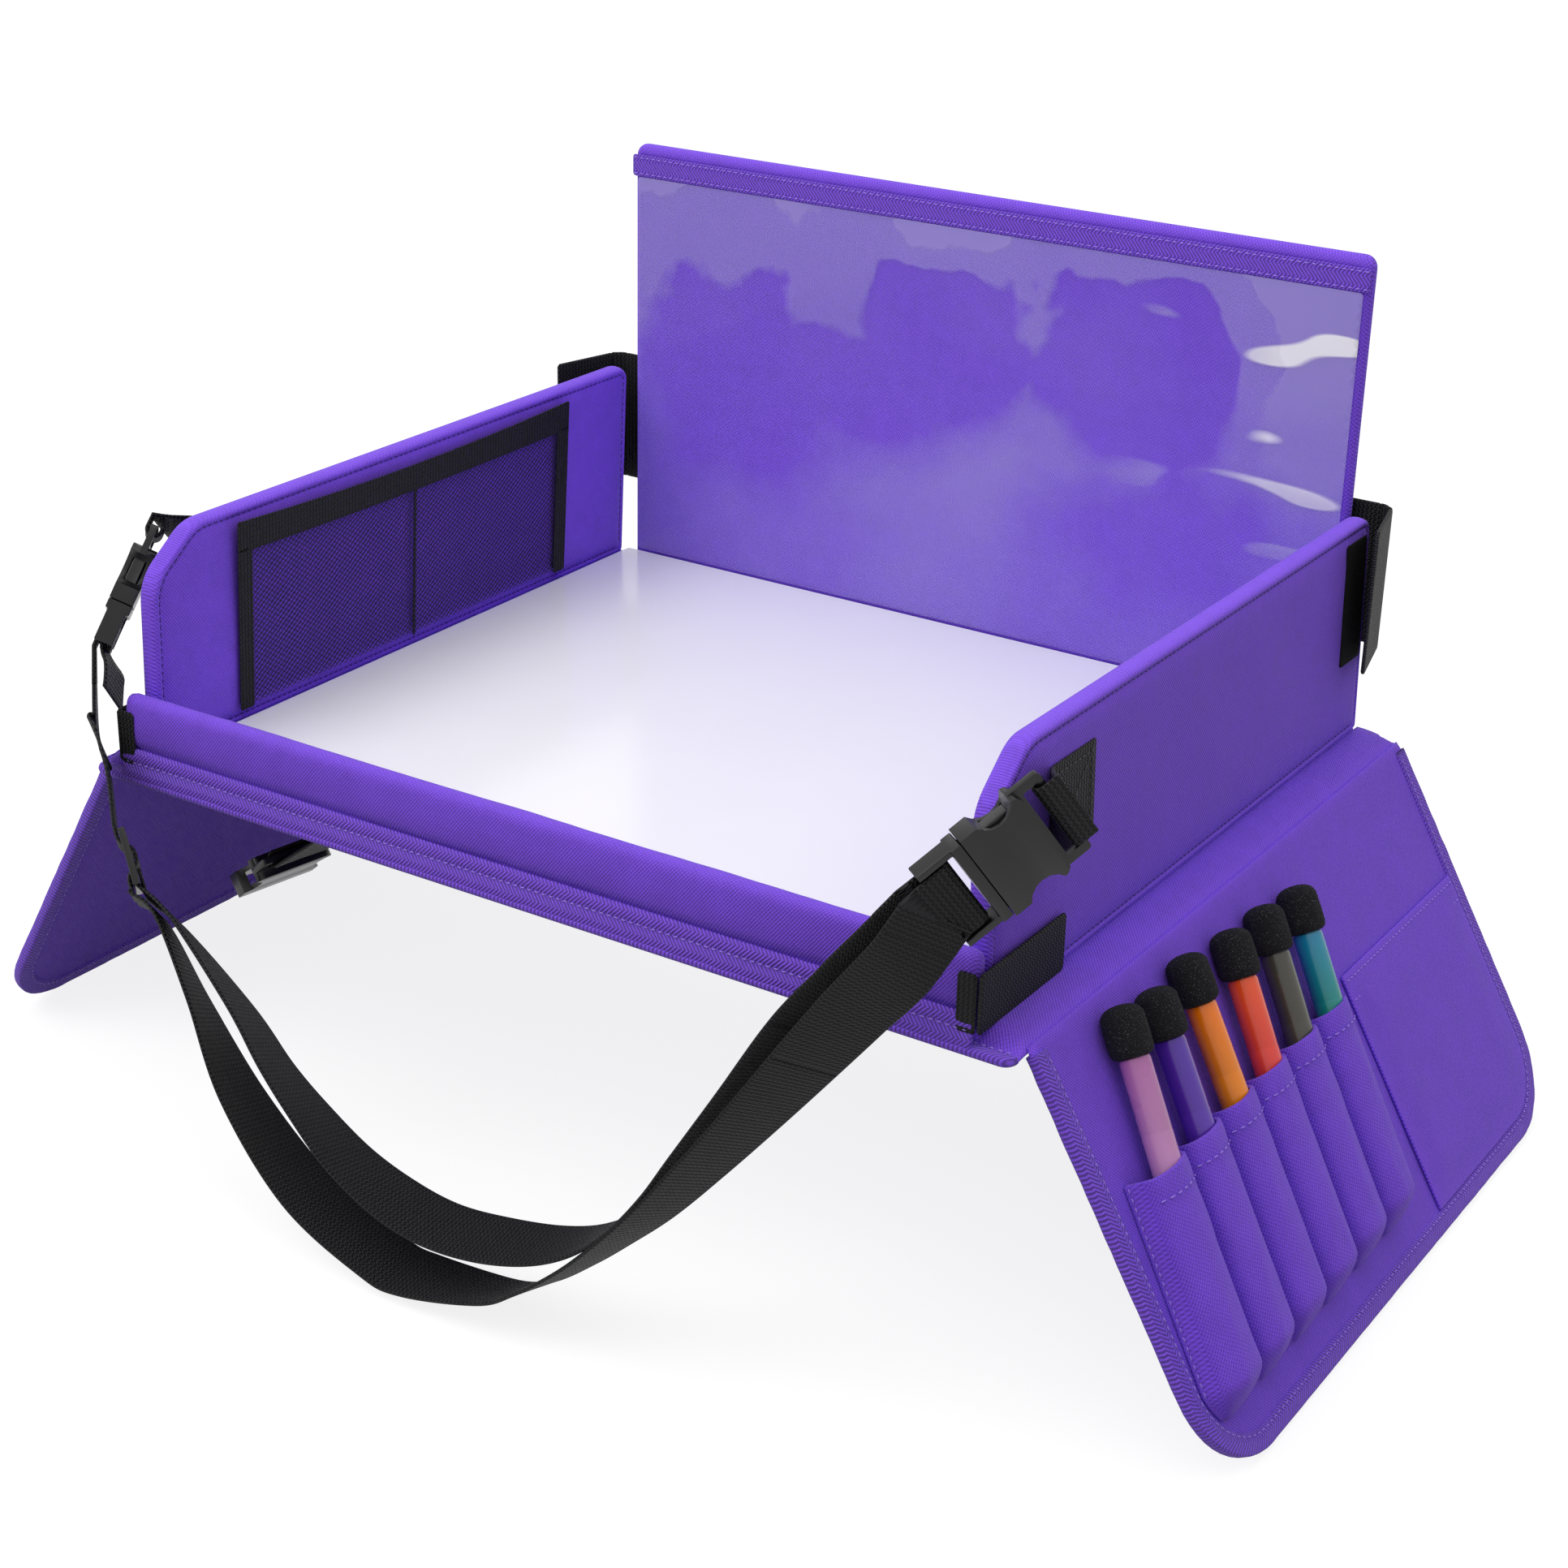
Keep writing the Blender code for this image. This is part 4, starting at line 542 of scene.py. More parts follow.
def settle(name, points, faces, material, uvs=None, rims=None, smooth=True):
    """A closed piece in world place, with its cloth coordinates and its faces turned outwards."""
    mesh = bpy.data.meshes.new(name)
    mesh.from_pydata([tuple(point) for point in points], [], faces)
    if uvs is not None:
        layer = mesh.uv_layers.new(name="cloth")
        loops = np.empty(len(mesh.loops), dtype=np.int32)
        mesh.loops.foreach_get("vertex_index", loops)
        layer.data.foreach_set("uv", np.asarray(uvs, dtype=np.float32)[loops].ravel())
    if rims is not None:
        mesh.attributes.new("rim", "FLOAT", "POINT").data.foreach_set(
            "value", np.asarray(rims, dtype=np.float32),
        )
    shape = bmesh.new()
    shape.from_mesh(mesh)
    bmesh.ops.recalc_face_normals(shape, faces=shape.faces)
    shape.to_mesh(mesh)
    shape.free()
    if smooth:
        mesh.shade_smooth()
    mesh.materials.append(material)
    made = bpy.data.objects.new(name, mesh)
    bpy.context.scene.collection.objects.link(made)
    return made


def spaced(outline, pitch):
    """Points round a closed outline, about one pitch apart, with every corner kept."""
    points = []
    for start, end in zip(outline, outline[1:] + outline[:1]):
        steps = max(1, round(math.dist(start, end) / pitch))
        for step in range(steps):
            share = step / steps
            points.append((start[0] + (end[0] - start[0]) * share, start[1] + (end[1] - start[1]) * share))
    return np.array(points)


def to_edge(points, outline):
    """Distance of each point from a closed outline."""
    best = np.full(len(points), np.inf)
    for start, end in zip(outline, np.roll(outline, -1, axis=0)):
        run = end - start
        share = np.clip(((points - start) @ run) / max(run @ run, 1e-12), 0, 1)
        best = np.minimum(best, np.linalg.norm(points - start - share[:, None] * run, axis=1))
    return best


def drawn_in(rim, inset):
    """The outline's points moved inwards, without those that cross at a corner."""
    ahead = np.roll(rim, -1, axis=0) - np.roll(rim, 1, axis=0)
    turned = np.stack([-ahead[:, 1], ahead[:, 0]], axis=1) / np.linalg.norm(ahead, axis=1)[:, None]
    area = np.sum(rim[:, 0] * np.roll(rim[:, 1], -1) - np.roll(rim[:, 0], -1) * rim[:, 1])
    moved = rim + turned * inset * (1 if area > 0 else -1)
    return moved[to_edge(moved, rim) > inset * 0.97]


def soft_noise(points, size):
    return np.array([noise.noise(Vector((u / size, v / size, 3.7))) for u, v in points])


def slab(name, outline, low, high, place, material, edge=0.002, pitch=0.004, seams=(), swell=(0, 0), ripple=0,
         ripple_size=0.03, bend=None):
    """A sewn panel over a flat outline: rounded edges, sunk seam lines, a slight swell and soft ripples."""
    rim = spaced(outline, pitch)
    rings = [drawn_in(rim, edge * share) for share in (0.08, 0.3, 0.62, 1.0)]
    for inset, depth, width in seams:
        rings += [drawn_in(rim, inset + step * width) for step in (-1.2, 0, 1.2)]
    spread = max([edge] + [inset + 1.2 * width for inset, depth, width in seams])
    lows, highs = rim.min(axis=0), rim.max(axis=0)
    across = np.arange(lows[0] + pitch / 2, highs[0], pitch)
    along = np.arange(lows[1] + pitch / 2, highs[1], pitch)
    grid = np.array(np.meshgrid(across, along)).reshape(2, -1).T
    inside = points_inside(grid, rim)
    grid = grid[inside]
    grid = grid[to_edge(grid, rim) > spread + pitch * 0.4] if len(grid) else grid
    flat = np.vstack([rim, *rings, grid])
    found = delaunay_2d_cdt([Vector(point) for point in flat], [], [list(range(len(rim)))], 1, 1e-7)
    flat = np.array([tuple(point) for point in found[0]])
    triangles = [tuple(face) for face in found[2]]
    distance = to_edge(flat, rim)
    border = distance < 1e-6
    share = np.clip(distance / edge, 0, 1)
    arch = np.sqrt(1 - (1 - share) ** 2)
    sunk = np.zeros(len(flat))
    for inset, depth, width in seams:
        sunk += depth * np.exp(-((distance - inset) / width) ** 2)
    fade = np.clip(distance / 0.02, 0, 1)
    fade = fade * fade * (3 - 2 * fade)
    waves = soft_noise(flat, ripple_size) * ripple * fade if ripple else np.zeros(len(flat))
    middle, half = (low + high) / 2, (high - low) / 2
    front = middle + half * arch - sunk + swell[1] * fade + waves
    back = middle - half * arch + sunk - swell[0] * fade + waves
    front[border] = back[border] = middle
    inner = np.flatnonzero(~border)
    renumber = np.arange(len(flat))
    renumber[inner] = len(flat) + np.arange(len(inner))
    points = [Vector((*flat[i], front[i])) for i in range(len(flat))]
    points += [Vector((*flat[i], back[i])) for i in inner]
    if bend:
        points = [bend(point) for point in points]
    points = [place @ point for point in points]
    faces = triangles + [tuple(int(renumber[i]) for i in reversed(face)) for face in triangles]
    faces = [tuple(int(i) for i in face) for face in faces]
    uvs = np.vstack([flat, flat[inner]])
    rims = np.exp(-np.concatenate([distance, distance[inner]]) / 0.0025)
    return settle(name, points, faces, material, uvs, rims)


def points_inside(points, outline):
    """Which points lie inside a closed outline."""
    inside = np.zeros(len(points), dtype=bool)
    for start, end in zip(outline, np.roll(outline, -1, axis=0)):
        crosses = (start[1] > points[:, 1]) != (end[1] > points[:, 1])
        rise = end[1] - start[1]
        if abs(rise) < 1e-12:
            continue
        reach = start[0] + (points[:, 1] - start[1]) * (end[0] - start[0]) / rise
        inside ^= crosses & (points[:, 0] < reach)
    return inside


def rounded(corners, steps=6):
    """An outline whose corners (a, b, radius) are turned into arcs."""
    outline = []
    for index, (a, b, radius) in enumerate(corners):
        here = Vector((a, b))
        before = Vector(corners[index - 1][:2]) - here
        after = Vector(corners[(index + 1) % len(corners)][:2]) - here
        if radius == 0:
            outline.append((a, b))
            continue
        half = before.angle(after) / 2
        reach = radius / math.tan(half)
        start = here + before.normalized() * reach
        centre = here + (before.normalized() + after.normalized()).normalized() * radius / math.sin(half)
        turn = (here + after.normalized() * reach - centre).angle_signed(start - centre)
        for step in range(steps + 1):
            arm = start - centre
            arm.rotate(Matrix.Rotation(turn * step / steps, 2))
            outline.append(tuple(centre + arm))
    return outline


def rectangle(low, high, radius=0.0015):
    (a0, b0), (a1, b1) = low, high
    return rounded([(a0, b0, radius), (a1, b0, radius), (a1, b1, radius), (a0, b1, radius)], 3)


def lofted(name, rows, material, uvs, closed_ends=True, rims=None):
    """A closed body through rings of points, all with the same count."""
    count = len(rows[0])
    points = [point for row in rows for point in row]
    faces = []
    for row in range(len(rows) - 1):
        for index in range(count):
            after = (index + 1) % count
            faces.append((row * count + index, row * count + after, (row + 1) * count + after,
                          (row + 1) * count + index))
    if closed_ends:
        faces.append(tuple(range(count)))
        faces.append(tuple(range(len(points) - count, len(points))))
    return settle(name, points, faces, material, uvs, rims)


# Webbing

def direction_frame(origin, along, across):
    """A frame with x along, y across (made square to x) and z out of the two."""
    x = Vector(along).normalized()
    y = Vector(across)
    y = (y - x * y.dot(x)).normalized()
    made = Matrix((x, y, x.cross(y))).transposed().to_4x4()
    made.translation = Vector(origin)
    return made


def smooth_route(stations, steps):
    """Catmull-Rom points through (place, across) stations."""
    rows = [(Vector(place), Vector(across).normalized()) for place, across in stations]
    rows = [rows[0], *rows, rows[-1]]
    route = []
    for index in range(1, len(rows) - 2):
        for step in range(steps):
            part = step / steps
            made = []
            for a, b, c, d in zip(*rows[index - 1:index + 3]):
                made.append((2 * b + (c - a) * part + (2 * a - 5 * b + 4 * c - d) * part ** 2
                             + (3 * b - a - 3 * c + d) * part ** 3) / 2)
            route.append(tuple(made))
    route.append(rows[-1])
    return route


def straight_route(stations, steps):
    route = []
    for start, end in zip(stations, stations[1:]):
        route += [tuple(a + (b - a) * step / steps for a, b in zip(start, end)) for step in range(steps)]
    return route + [stations[-1]]


def bar_wrap(at, bar_x, toward, steps=12):
    """Stations round a buckle's bar, from its outer face to its inner."""
    centre = at @ Vector((bar_x, 0, 0))
    along, across, face = (at.to_3x3().col[k].copy() for k in range(3))
    stations = []
    for step in range(steps + 1):
        angle = math.pi * step / steps
        reach = face * math.cos(angle) + along * toward * math.sin(angle)
        stations.append((centre + reach * WRAP_RADIUS, across))
    return stations


def flipped(stations):
    return [(place, -Vector(across)) for place, across in stations]


SECTION = [(-1, 0.15), (-0.985, 0.62), (-0.94, 0.98), (-0.80, 0.90)]
SECTION += [(share, 0.88) for share in (-0.6, -0.3, 0, 0.3, 0.6)]
SECTION += [(0.80, 0.90), (0.94, 0.98), (0.985, 0.62), (1, 0.15)]
SECTION = SECTION + [(a, -b) for a, b in reversed(SECTION)]


def webbing_strip(name, route, place, material, width=WEBBING_WIDTH, square=True, widths=None,
                  thickness=WEBBING_THICKNESS):
    """Flat woven webbing along (place, across) stations, a little thicker at its two edges."""
    rows, uvs, run = [], [], 0.0
    for index, (point, across) in enumerate(route):
        ahead = route[min(index + 1, len(route) - 1)][0] - route[max(index - 1, 0)][0]
        if square:
            across = across - ahead * across.dot(ahead) / ahead.length_squared
        across = across.normalized()
        face = ahead.cross(across).normalized()
        if index:
            run += (point - route[index - 1][0]).length
        wide = widths[index] if widths else width
        for a, b in SECTION:
            uvs.append((run, a * wide / 2))
        rows.append([place @ (point + across * a * wide / 2 + face * b * thickness / 2) for a, b in SECTION])
    return lofted(name, rows, material, uvs)


# Stitches and nets

def socket_of(tree, name):
    return next(item.identifier for item in tree.interface.items_tree if item.name == name)


def stitch_tree():
    """Stitches along every edge line of a mesh."""
    tree = bpy.data.node_groups.get("Stitch rows")
    if tree:
        return tree
    tree = bpy.data.node_groups.new("Stitch rows", "GeometryNodeTree")
    tree.interface.new_socket("Rows", in_out="INPUT", socket_type="NodeSocketGeometry")
    for name in ("Length", "Thickness", "Pitch"):
        tree.interface.new_socket(name, in_out="INPUT", socket_type="NodeSocketFloat")
    tree.interface.new_socket("Thread", in_out="INPUT", socket_type="NodeSocketMaterial")
    tree.interface.new_socket("Stitches", in_out="OUTPUT", socket_type="NodeSocketGeometry")
    nodes, link = tree.nodes, tree.links.new
    given, result = nodes.new("NodeGroupInput"), nodes.new("NodeGroupOutput")
    curve = nodes.new("GeometryNodeMeshToCurve")
    spaced_out = nodes.new("GeometryNodeResampleCurve")
    spaced_out.mode = "LENGTH"
    ball = nodes.new("GeometryNodeMeshUVSphere")
    ball.inputs["Segments"].default_value = 6
    ball.inputs["Rings"].default_value = 4
    ball.inputs["Radius"].default_value = 0.5
    size = nodes.new("ShaderNodeCombineXYZ")
    tangent = nodes.new("GeometryNodeInputTangent")
    aim = nodes.new("FunctionNodeAlignRotationToVector")
    aim.axis = "X"
    placed = nodes.new("GeometryNodeInstanceOnPoints")
    real = nodes.new("GeometryNodeRealizeInstances")
    paint = nodes.new("GeometryNodeSetMaterial")
    link(given.outputs["Rows"], curve.inputs["Mesh"])
    link(curve.outputs["Curve"], spaced_out.inputs["Curve"])
    link(given.outputs["Pitch"], spaced_out.inputs["Length"])
    link(spaced_out.outputs["Curve"], placed.inputs["Points"])
    link(ball.outputs["Mesh"], placed.inputs["Instance"])
    link(tangent.outputs["Tangent"], aim.inputs["Vector"])
    link(aim.outputs["Rotation"], placed.inputs["Rotation"])
    link(given.outputs["Length"], size.inputs["X"])
    link(given.outputs["Thickness"], size.inputs["Y"])
    link(given.outputs["Thickness"], size.inputs["Z"])
    link(size.outputs["Vector"], placed.inputs["Scale"])
    link(placed.outputs["Instances"], real.inputs["Geometry"])
    link(real.outputs["Geometry"], paint.inputs["Geometry"])
    link(given.outputs["Thread"], paint.inputs["Material"])
    link(paint.outputs["Geometry"], result.inputs["Stitches"])
    return tree


def stitched(name, rows, body, thread="Thread", thickness=0.0007):
    """Sewing along rows of points, made a plain mesh on its body."""
    cloth = bpy.context.scene.tray_cloth
    points = [point for row in rows for point in row]
    edges, start = [], 0
    for row in rows:
        edges += [(start + index, start + index + 1) for index in range(len(row) - 1)]
        start += len(row)
    mesh = bpy.data.meshes.new(name + "_rows")
    mesh.from_pydata([tuple(point) for point in points], edges, [])
    holder = bpy.data.objects.new(name + "_rows", mesh)
    bpy.context.scene.collection.objects.link(holder)
    tree = stitch_tree()
    modifier = holder.modifiers.new("Stitches", "NODES")
    modifier.node_group = tree
    for socket, value in (("Length", cloth.stitch), ("Thickness", thickness), ("Pitch", cloth.pitch),
                          ("Thread", bpy.data.materials[thread])):
        modifier[socket_of(tree, socket)] = value
    bpy.context.view_layer.update()
    plain = bpy.data.meshes.new_from_object(holder.evaluated_get(bpy.context.evaluated_depsgraph_get()))
    bpy.data.objects.remove(holder)
    made = bpy.data.objects.new(name, plain)
    plain.name = name
    plain.shade_smooth()
    bpy.context.scene.collection.objects.link(made)
    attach(made, body)
    return made


def held_by(made, body, slot_name, *nodes):
    """Seats a finished piece on its body, in the place of its solids."""
    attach(made, body)
    if nodes:
        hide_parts(*nodes)
    return made


def wall_place(side):
    return TRAY @ Matrix.Translation((side * WALL_AXIS_X, 0, 0)) @ Matrix.Rotation(-side * WALL_LEAN, 4, "Y")


def flap_place(side):
    spot = Matrix.Translation((side * FLAP_AXIS[0], 0, FLAP_AXIS[1]))
    return TRAY @ spot @ Matrix.Rotation(-side * FLAP_SPLAY, 4, "Y")


def wall_outline():
    depth, drop, radius = WALL_CHAMFER
    return rounded([
        (WALL_FRONT_Y, WALL_FOOT_Z, 0.003), (WALL_FRONT_Y, WALL_HEIGHT - drop, radius),
        (WALL_FRONT_Y + depth, WALL_HEIGHT, radius), (WALL_BACK_Y, WALL_HEIGHT, 0.007),
        (WALL_BACK_Y, WALL_FOOT_Z, 0.003),
    ])


def inset_row(outline, inset, pitch=0.004):
    return drawn_in(spaced(outline, pitch), inset)


class PieceOperator:
    """Shared by the operators that make pieces."""
    bl_options = {"REGISTER", "UNDO"}


class MakeStage(PieceOperator, bpy.types.Operator):
    """Camera at the photograph's angle, pale floor, even room light and two soft lamps"""
    bl_idname = "tray.stage"
    bl_label = "Stage"

    def execute(self, context):
        settings = context.scene.tray_stage
        context.scene.view_settings.view_transform = "Standard"
        self.camera(context, settings)
        self.floor(settings)
        self.room(context, settings)
        self.lamp("Key", (-0.9, -1.3, 1.9), (0, 0.05, 0.18), 1.5, settings.key)
        self.lamp("Fill", (0.30, -0.25, 1.4), (-0.15, 0, 0.2), 0.9, settings.fill)
        return {"FINISHED"}

    def camera(self, context, settings):
        azimuth, rise, roll = math.radians(32.635), math.radians(23.768), math.radians(1.3147)
        back = Vector(
            (math.sin(azimuth) * math.cos(rise), -math.cos(azimuth) * math.cos(rise), math.sin(rise)),
        )
        right = (-back).cross(Vector((0, 0, 1))).normalized()
        up = right.cross(-back)
        right, up = right * math.cos(roll) + up * math.sin(roll), up * math.cos(roll) - right * math.sin(roll)
        data = bpy.data.cameras.new("Camera")
        data.sensor_width = 36
        data.lens = settings.lens
        made = bpy.data.objects.new("Camera", data)
        context.scene.collection.objects.link(made)
        turn = Matrix((right, up, back)).transposed().to_4x4()
        made.matrix_world = Matrix.Translation(TRAY @ Vector((0.6559, -1.0058, 0.5044))) @ turn
        context.scene.camera = made

    def floor(self, settings):
        half = settings.floor / 2
        mesh = bpy.data.meshes.new("floor")
        mesh.from_pydata(
            [(-half, -half, 0), (half, -half, 0), (half, half, 0), (-half, half, 0)], [], [(0, 1, 2, 3)],
        )
        finish = Finish("Floor", Base_Color=(0.26, 0.26, 0.257, 1), Roughness=0.9, Specular_IOR_Level=0.0)
        tree = finish.tree
        rays = tree.nodes.new("ShaderNodeLightPath")
        seen = Value(finish, rays.outputs["Is Camera Ray"]) + Value(finish, rays.outputs["Is Glossy Ray"])
        seen = (seen + Value(finish, rays.outputs["Is Transmission Ray"])).held()
        glow = finish.node("ShaderNodeEmission", {}, {"Color": (1, 1, 1, 1), "Strength": seen * 0.83})
        both = finish.node("ShaderNodeAddShader", {}, {0: Value(finish, finish.shader.outputs[0]), 1: glow})
        tree.links.new(both.socket, tree.nodes["Material Output"].inputs["Surface"])
        mesh.materials.append(finish.material)
        made = bpy.data.objects.new("floor", mesh)
        bpy.context.scene.collection.objects.link(made)

    def room(self, context, settings):
        world = bpy.data.worlds.new("Room")
        world.use_nodes = True
        context.scene.world = world
        nodes, link = world.node_tree.nodes, world.node_tree.links.new
        background = nodes["Background"]
        background.inputs["Color"].default_value = (1, 1, 1, 1)
        rays = nodes.new("ShaderNodeLightPath")
        total = nodes.new("ShaderNodeMath")
        total.operation = "ADD"
        link(rays.outputs["Is Camera Ray"], total.inputs[0])
        link(rays.outputs["Is Glossy Ray"], total.inputs[1])
        seen = nodes.new("ShaderNodeMath")
        seen.operation = "ADD"
        seen.use_clamp = True
        link(total.outputs[0], seen.inputs[0])
        link(rays.outputs["Is Transmission Ray"], seen.inputs[1])
        direction = nodes.new("ShaderNodeTexCoord")
        parts = nodes.new("ShaderNodeSeparateXYZ")
        link(direction.outputs["Generated"], parts.inputs[0])
        ceiling = nodes.new("ShaderNodeMapRange")
        ceiling.inputs["To Min"].default_value = settings.room * 0.42
        ceiling.inputs["To Max"].default_value = settings.room * 1.32
        link(parts.outputs["Z"], ceiling.inputs["Value"])
        level = nodes.new("ShaderNodeMapRange")
        link(ceiling.outputs["Result"], level.inputs["To Min"])
        level.inputs["To Max"].default_value = 1.0
        link(seen.outputs[0], level.inputs["Value"])
        link(level.outputs["Result"], background.inputs["Strength"])

    def lamp(self, name, spot, aim, size, power):
        data = bpy.data.lights.new(name, "AREA")
        data.size = size
        data.energy = power
        made = bpy.data.objects.new(name, data)
        made.location = spot
        made.rotation_mode = "QUATERNION"
        made.rotation_quaternion = (Vector(spot) - Vector(aim)).to_track_quat("Z", "Y")
        bpy.context.scene.collection.objects.link(made)


class MakeStrap(PieceOperator, bpy.types.Operator):
    """The long strap, threaded through its adjuster, and the webbing on the walls and under the tray"""
    bl_idname = "tray.strap"
    bl_label = "Strap and webbing"

    def execute(self, context):
        look = finishes()
        right, left = direction_frame(*RIGHT_BUCKLE), direction_frame(*LEFT_BUCKLE)
        glide = direction_frame(*ADJUSTER)
        tail, left_run, outer_run, inner_run = self.strands(right, left, glide)
        held_by(webbing_strip("strap_tail", tail, TRAY, look["Webbing"]), "left_male_buckle", "black_webbing")
        low = Vector(STRAP_LOW)
        for name, side, route, cut, start in (
            ("strap_left", "left", left_run[::-1], len(left_run) - LEFT_LEAD_CUT, glide.translation),
            ("strap_outer", "right", outer_run, OUTER_LEAD_CUT, low),
            ("strap_inner", "right", inner_run[::-1], len(inner_run) - INNER_LEAD_CUT, low),
        ):
            turn = route[cut][0]
            end = (left if side == "left" else right) @ Vector((BUCKLE_END + LEAD_OVERRUN, 0, 0))
            for label, part, bodies, span in (
                (name, route[:cut + 1], ("tray", f"{side}_wall"), (start, turn)),
                (f"{name}_lead", route[cut:], (f"{side}_wall", f"{side}_male_buckle"), (turn, end)),
            ):
                made = webbing_strip(label, part, TRAY, look["Webbing"])
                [TRAY @ point for point in span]
                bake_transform(made)
                if label == "strap_outer":
                    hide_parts("strap_webbing")
        left_end = tail[-6:] + list(reversed(flipped(bar_wrap(left, MALE_BAR_X, -1)))) + left_run[:6]
        right_end = outer_run[-8:] + bar_wrap(right, MALE_BAR_X, -1) + inner_run[:8]
        for name, route in (("left", left_end), ("right", right_end)):
            made = webbing_strip(
                f"{name}_strap_end", route, TRAY, look["Webbing"], width=WEBBING_WIDTH * 1.01,
                thickness=WEBBING_THICKNESS * 1.1,
            )
            held_by(made, f"{name}_male_buckle", "black_webbing")
        for name, side, at, rear in (
            ("left", -1, left, (-0.085, 0.072)), ("right", 1, right, (-0.098, 0.066)),
        ):
            self.patch(name, side, at, rear, look)
        self.under_loop(look)
        return {"FINISHED"}

    def strands(self, right, left, glide):
        """The strap's stretches between its buckles' bars and its adjuster."""
        def leaving(at, side):
            along, across, face = (at.to_3x3().col[k].copy() for k in range(3))
            bar = at @ Vector((MALE_BAR_X, 0, 0))
            return (bar + along * (BUCKLE_END - MALE_BAR_X + 0.003) + face * side * WRAP_RADIUS, across)

        def at_glide(reach, lift):
            along, across, face = (glide.to_3x3().col[k].copy() for k in range(3))
            return (glide.translation + along * reach + face * lift, across)

        rest = 0.0026
        reaches = ((0.016, -rest), (0.0092, -rest), (0.0058, 0), (0.0024, rest))
        through = [at_glide(-reach, lift) for reach, lift in reaches]
        through += [at_glide(reach, lift) for reach, lift in reversed(reaches)]
        tail = [*reversed(LEFT_TAIL_ROUTE), *flipped([leaving(left, -1)])]
        left_run = [*flipped([leaving(left, 1)]), *LEFT_STRAP_ROUTE]
        outer_run = [*OUTER_STRAP_ROUTE, leaving(right, 1)]
        inner_run = [leaving(right, -1), *reversed(INNER_STRAP_ROUTE)]
        return (
            smooth_route(tail, 10),
            smooth_route([*left_run, through[0]], 10) + smooth_route(through, 4)[1:],
            smooth_route([through[-1], *outer_run], 12),
            [*smooth_route([*inner_run, at_glide(0.016, rest)], 12), at_glide(0.0058, rest)],
        )

    def patch(self, name, side, at, rear, look):
        hinge = TRAY.inverted() @ wall_place(side)
        inner = hinge.inverted() @ at
        face_x = side * (WALL_OUTER + 0.0003 + WEBBING_THICKNESS / 2)
        along, across, face = (inner.to_3x3().col[k].copy() for k in range(3))
        upright = Vector((0, 0, 1 if across.z > 0 else -1))
        sewn = [(Vector((face_x, rear[0] - 0.034 * share, rear[1])), upright) for share in (0, 0.5, 1)]
        wrap = bar_wrap(inner, 0, 1)
        lead = (wrap[0][0] - along * 0.006, across)
        route = straight_route([*sewn, lead], 8) + [*wrap, (wrap[-1][0] - along * 0.002, across)]
        widths = [0.038] * 17 + [0.038 + (WEBBING_WIDTH - 0.038) * step / 8 for step in range(1, 8)]
        widths += [WEBBING_WIDTH] * (len(route) - len(widths))
        strip = webbing_strip(
            f"{name}_buckle_strip", route, wall_place(side), look["Webbing"], square=False, widths=widths,
        )
        held_by(strip, f"{name}_wall", "black_webbing", f"{name}_buckle_webbing")
        out = side * (WALL_OUTER + 0.0003 + WEBBING_THICKNESS)
        y0, y1, z0, z1 = rear[0] - 0.031, rear[0] - 0.003, rear[1] - 0.015, rear[1] + 0.015
        corners = [(y0, z0), (y1, z0), (y1, z1), (y0, z1), (y0, z0)]
        rows = [corners, [(y0, z0), (y1, z1)], [(y0, z1), (y1, z0)]]
        rows = [[wall_place(side) @ Vector((out, y, z)) for y, z in row] for row in rows]
        stitched(f"{name}_patch_stitches", rows, f"{name}_wall", "Black thread")

    def under_loop(self, look):
        at = direction_frame(*UNDER_BUCKLE)
        along, across, face = (at.to_3x3().col[k].copy() for k in range(3))
        wrap = bar_wrap(at, 0, 1)
        top = (Vector((-0.1115, -0.136, -0.0132)), Vector((0, 1, 0)))
        route = straight_route([top, wrap[0]], 12) + [*wrap[1:], (wrap[-1][0] - along * 0.002, across)]
        loop = webbing_strip("under_buckle_strip", route, TRAY, look["Webbing"])
        held_by(loop, "under_tray_buckle", "black_webbing", "under_tray_buckle_loop")
        tab = slab(
            "under_sewn_strip", rectangle((-0.1095, -0.151), (-0.070, -0.121)), -0.0129, -0.0113, TRAY,
            look["Webbing"], edge=0.0007,
        )
        held_by(tab, "tray", "black_webbing", "under_tray_webbing_tab")


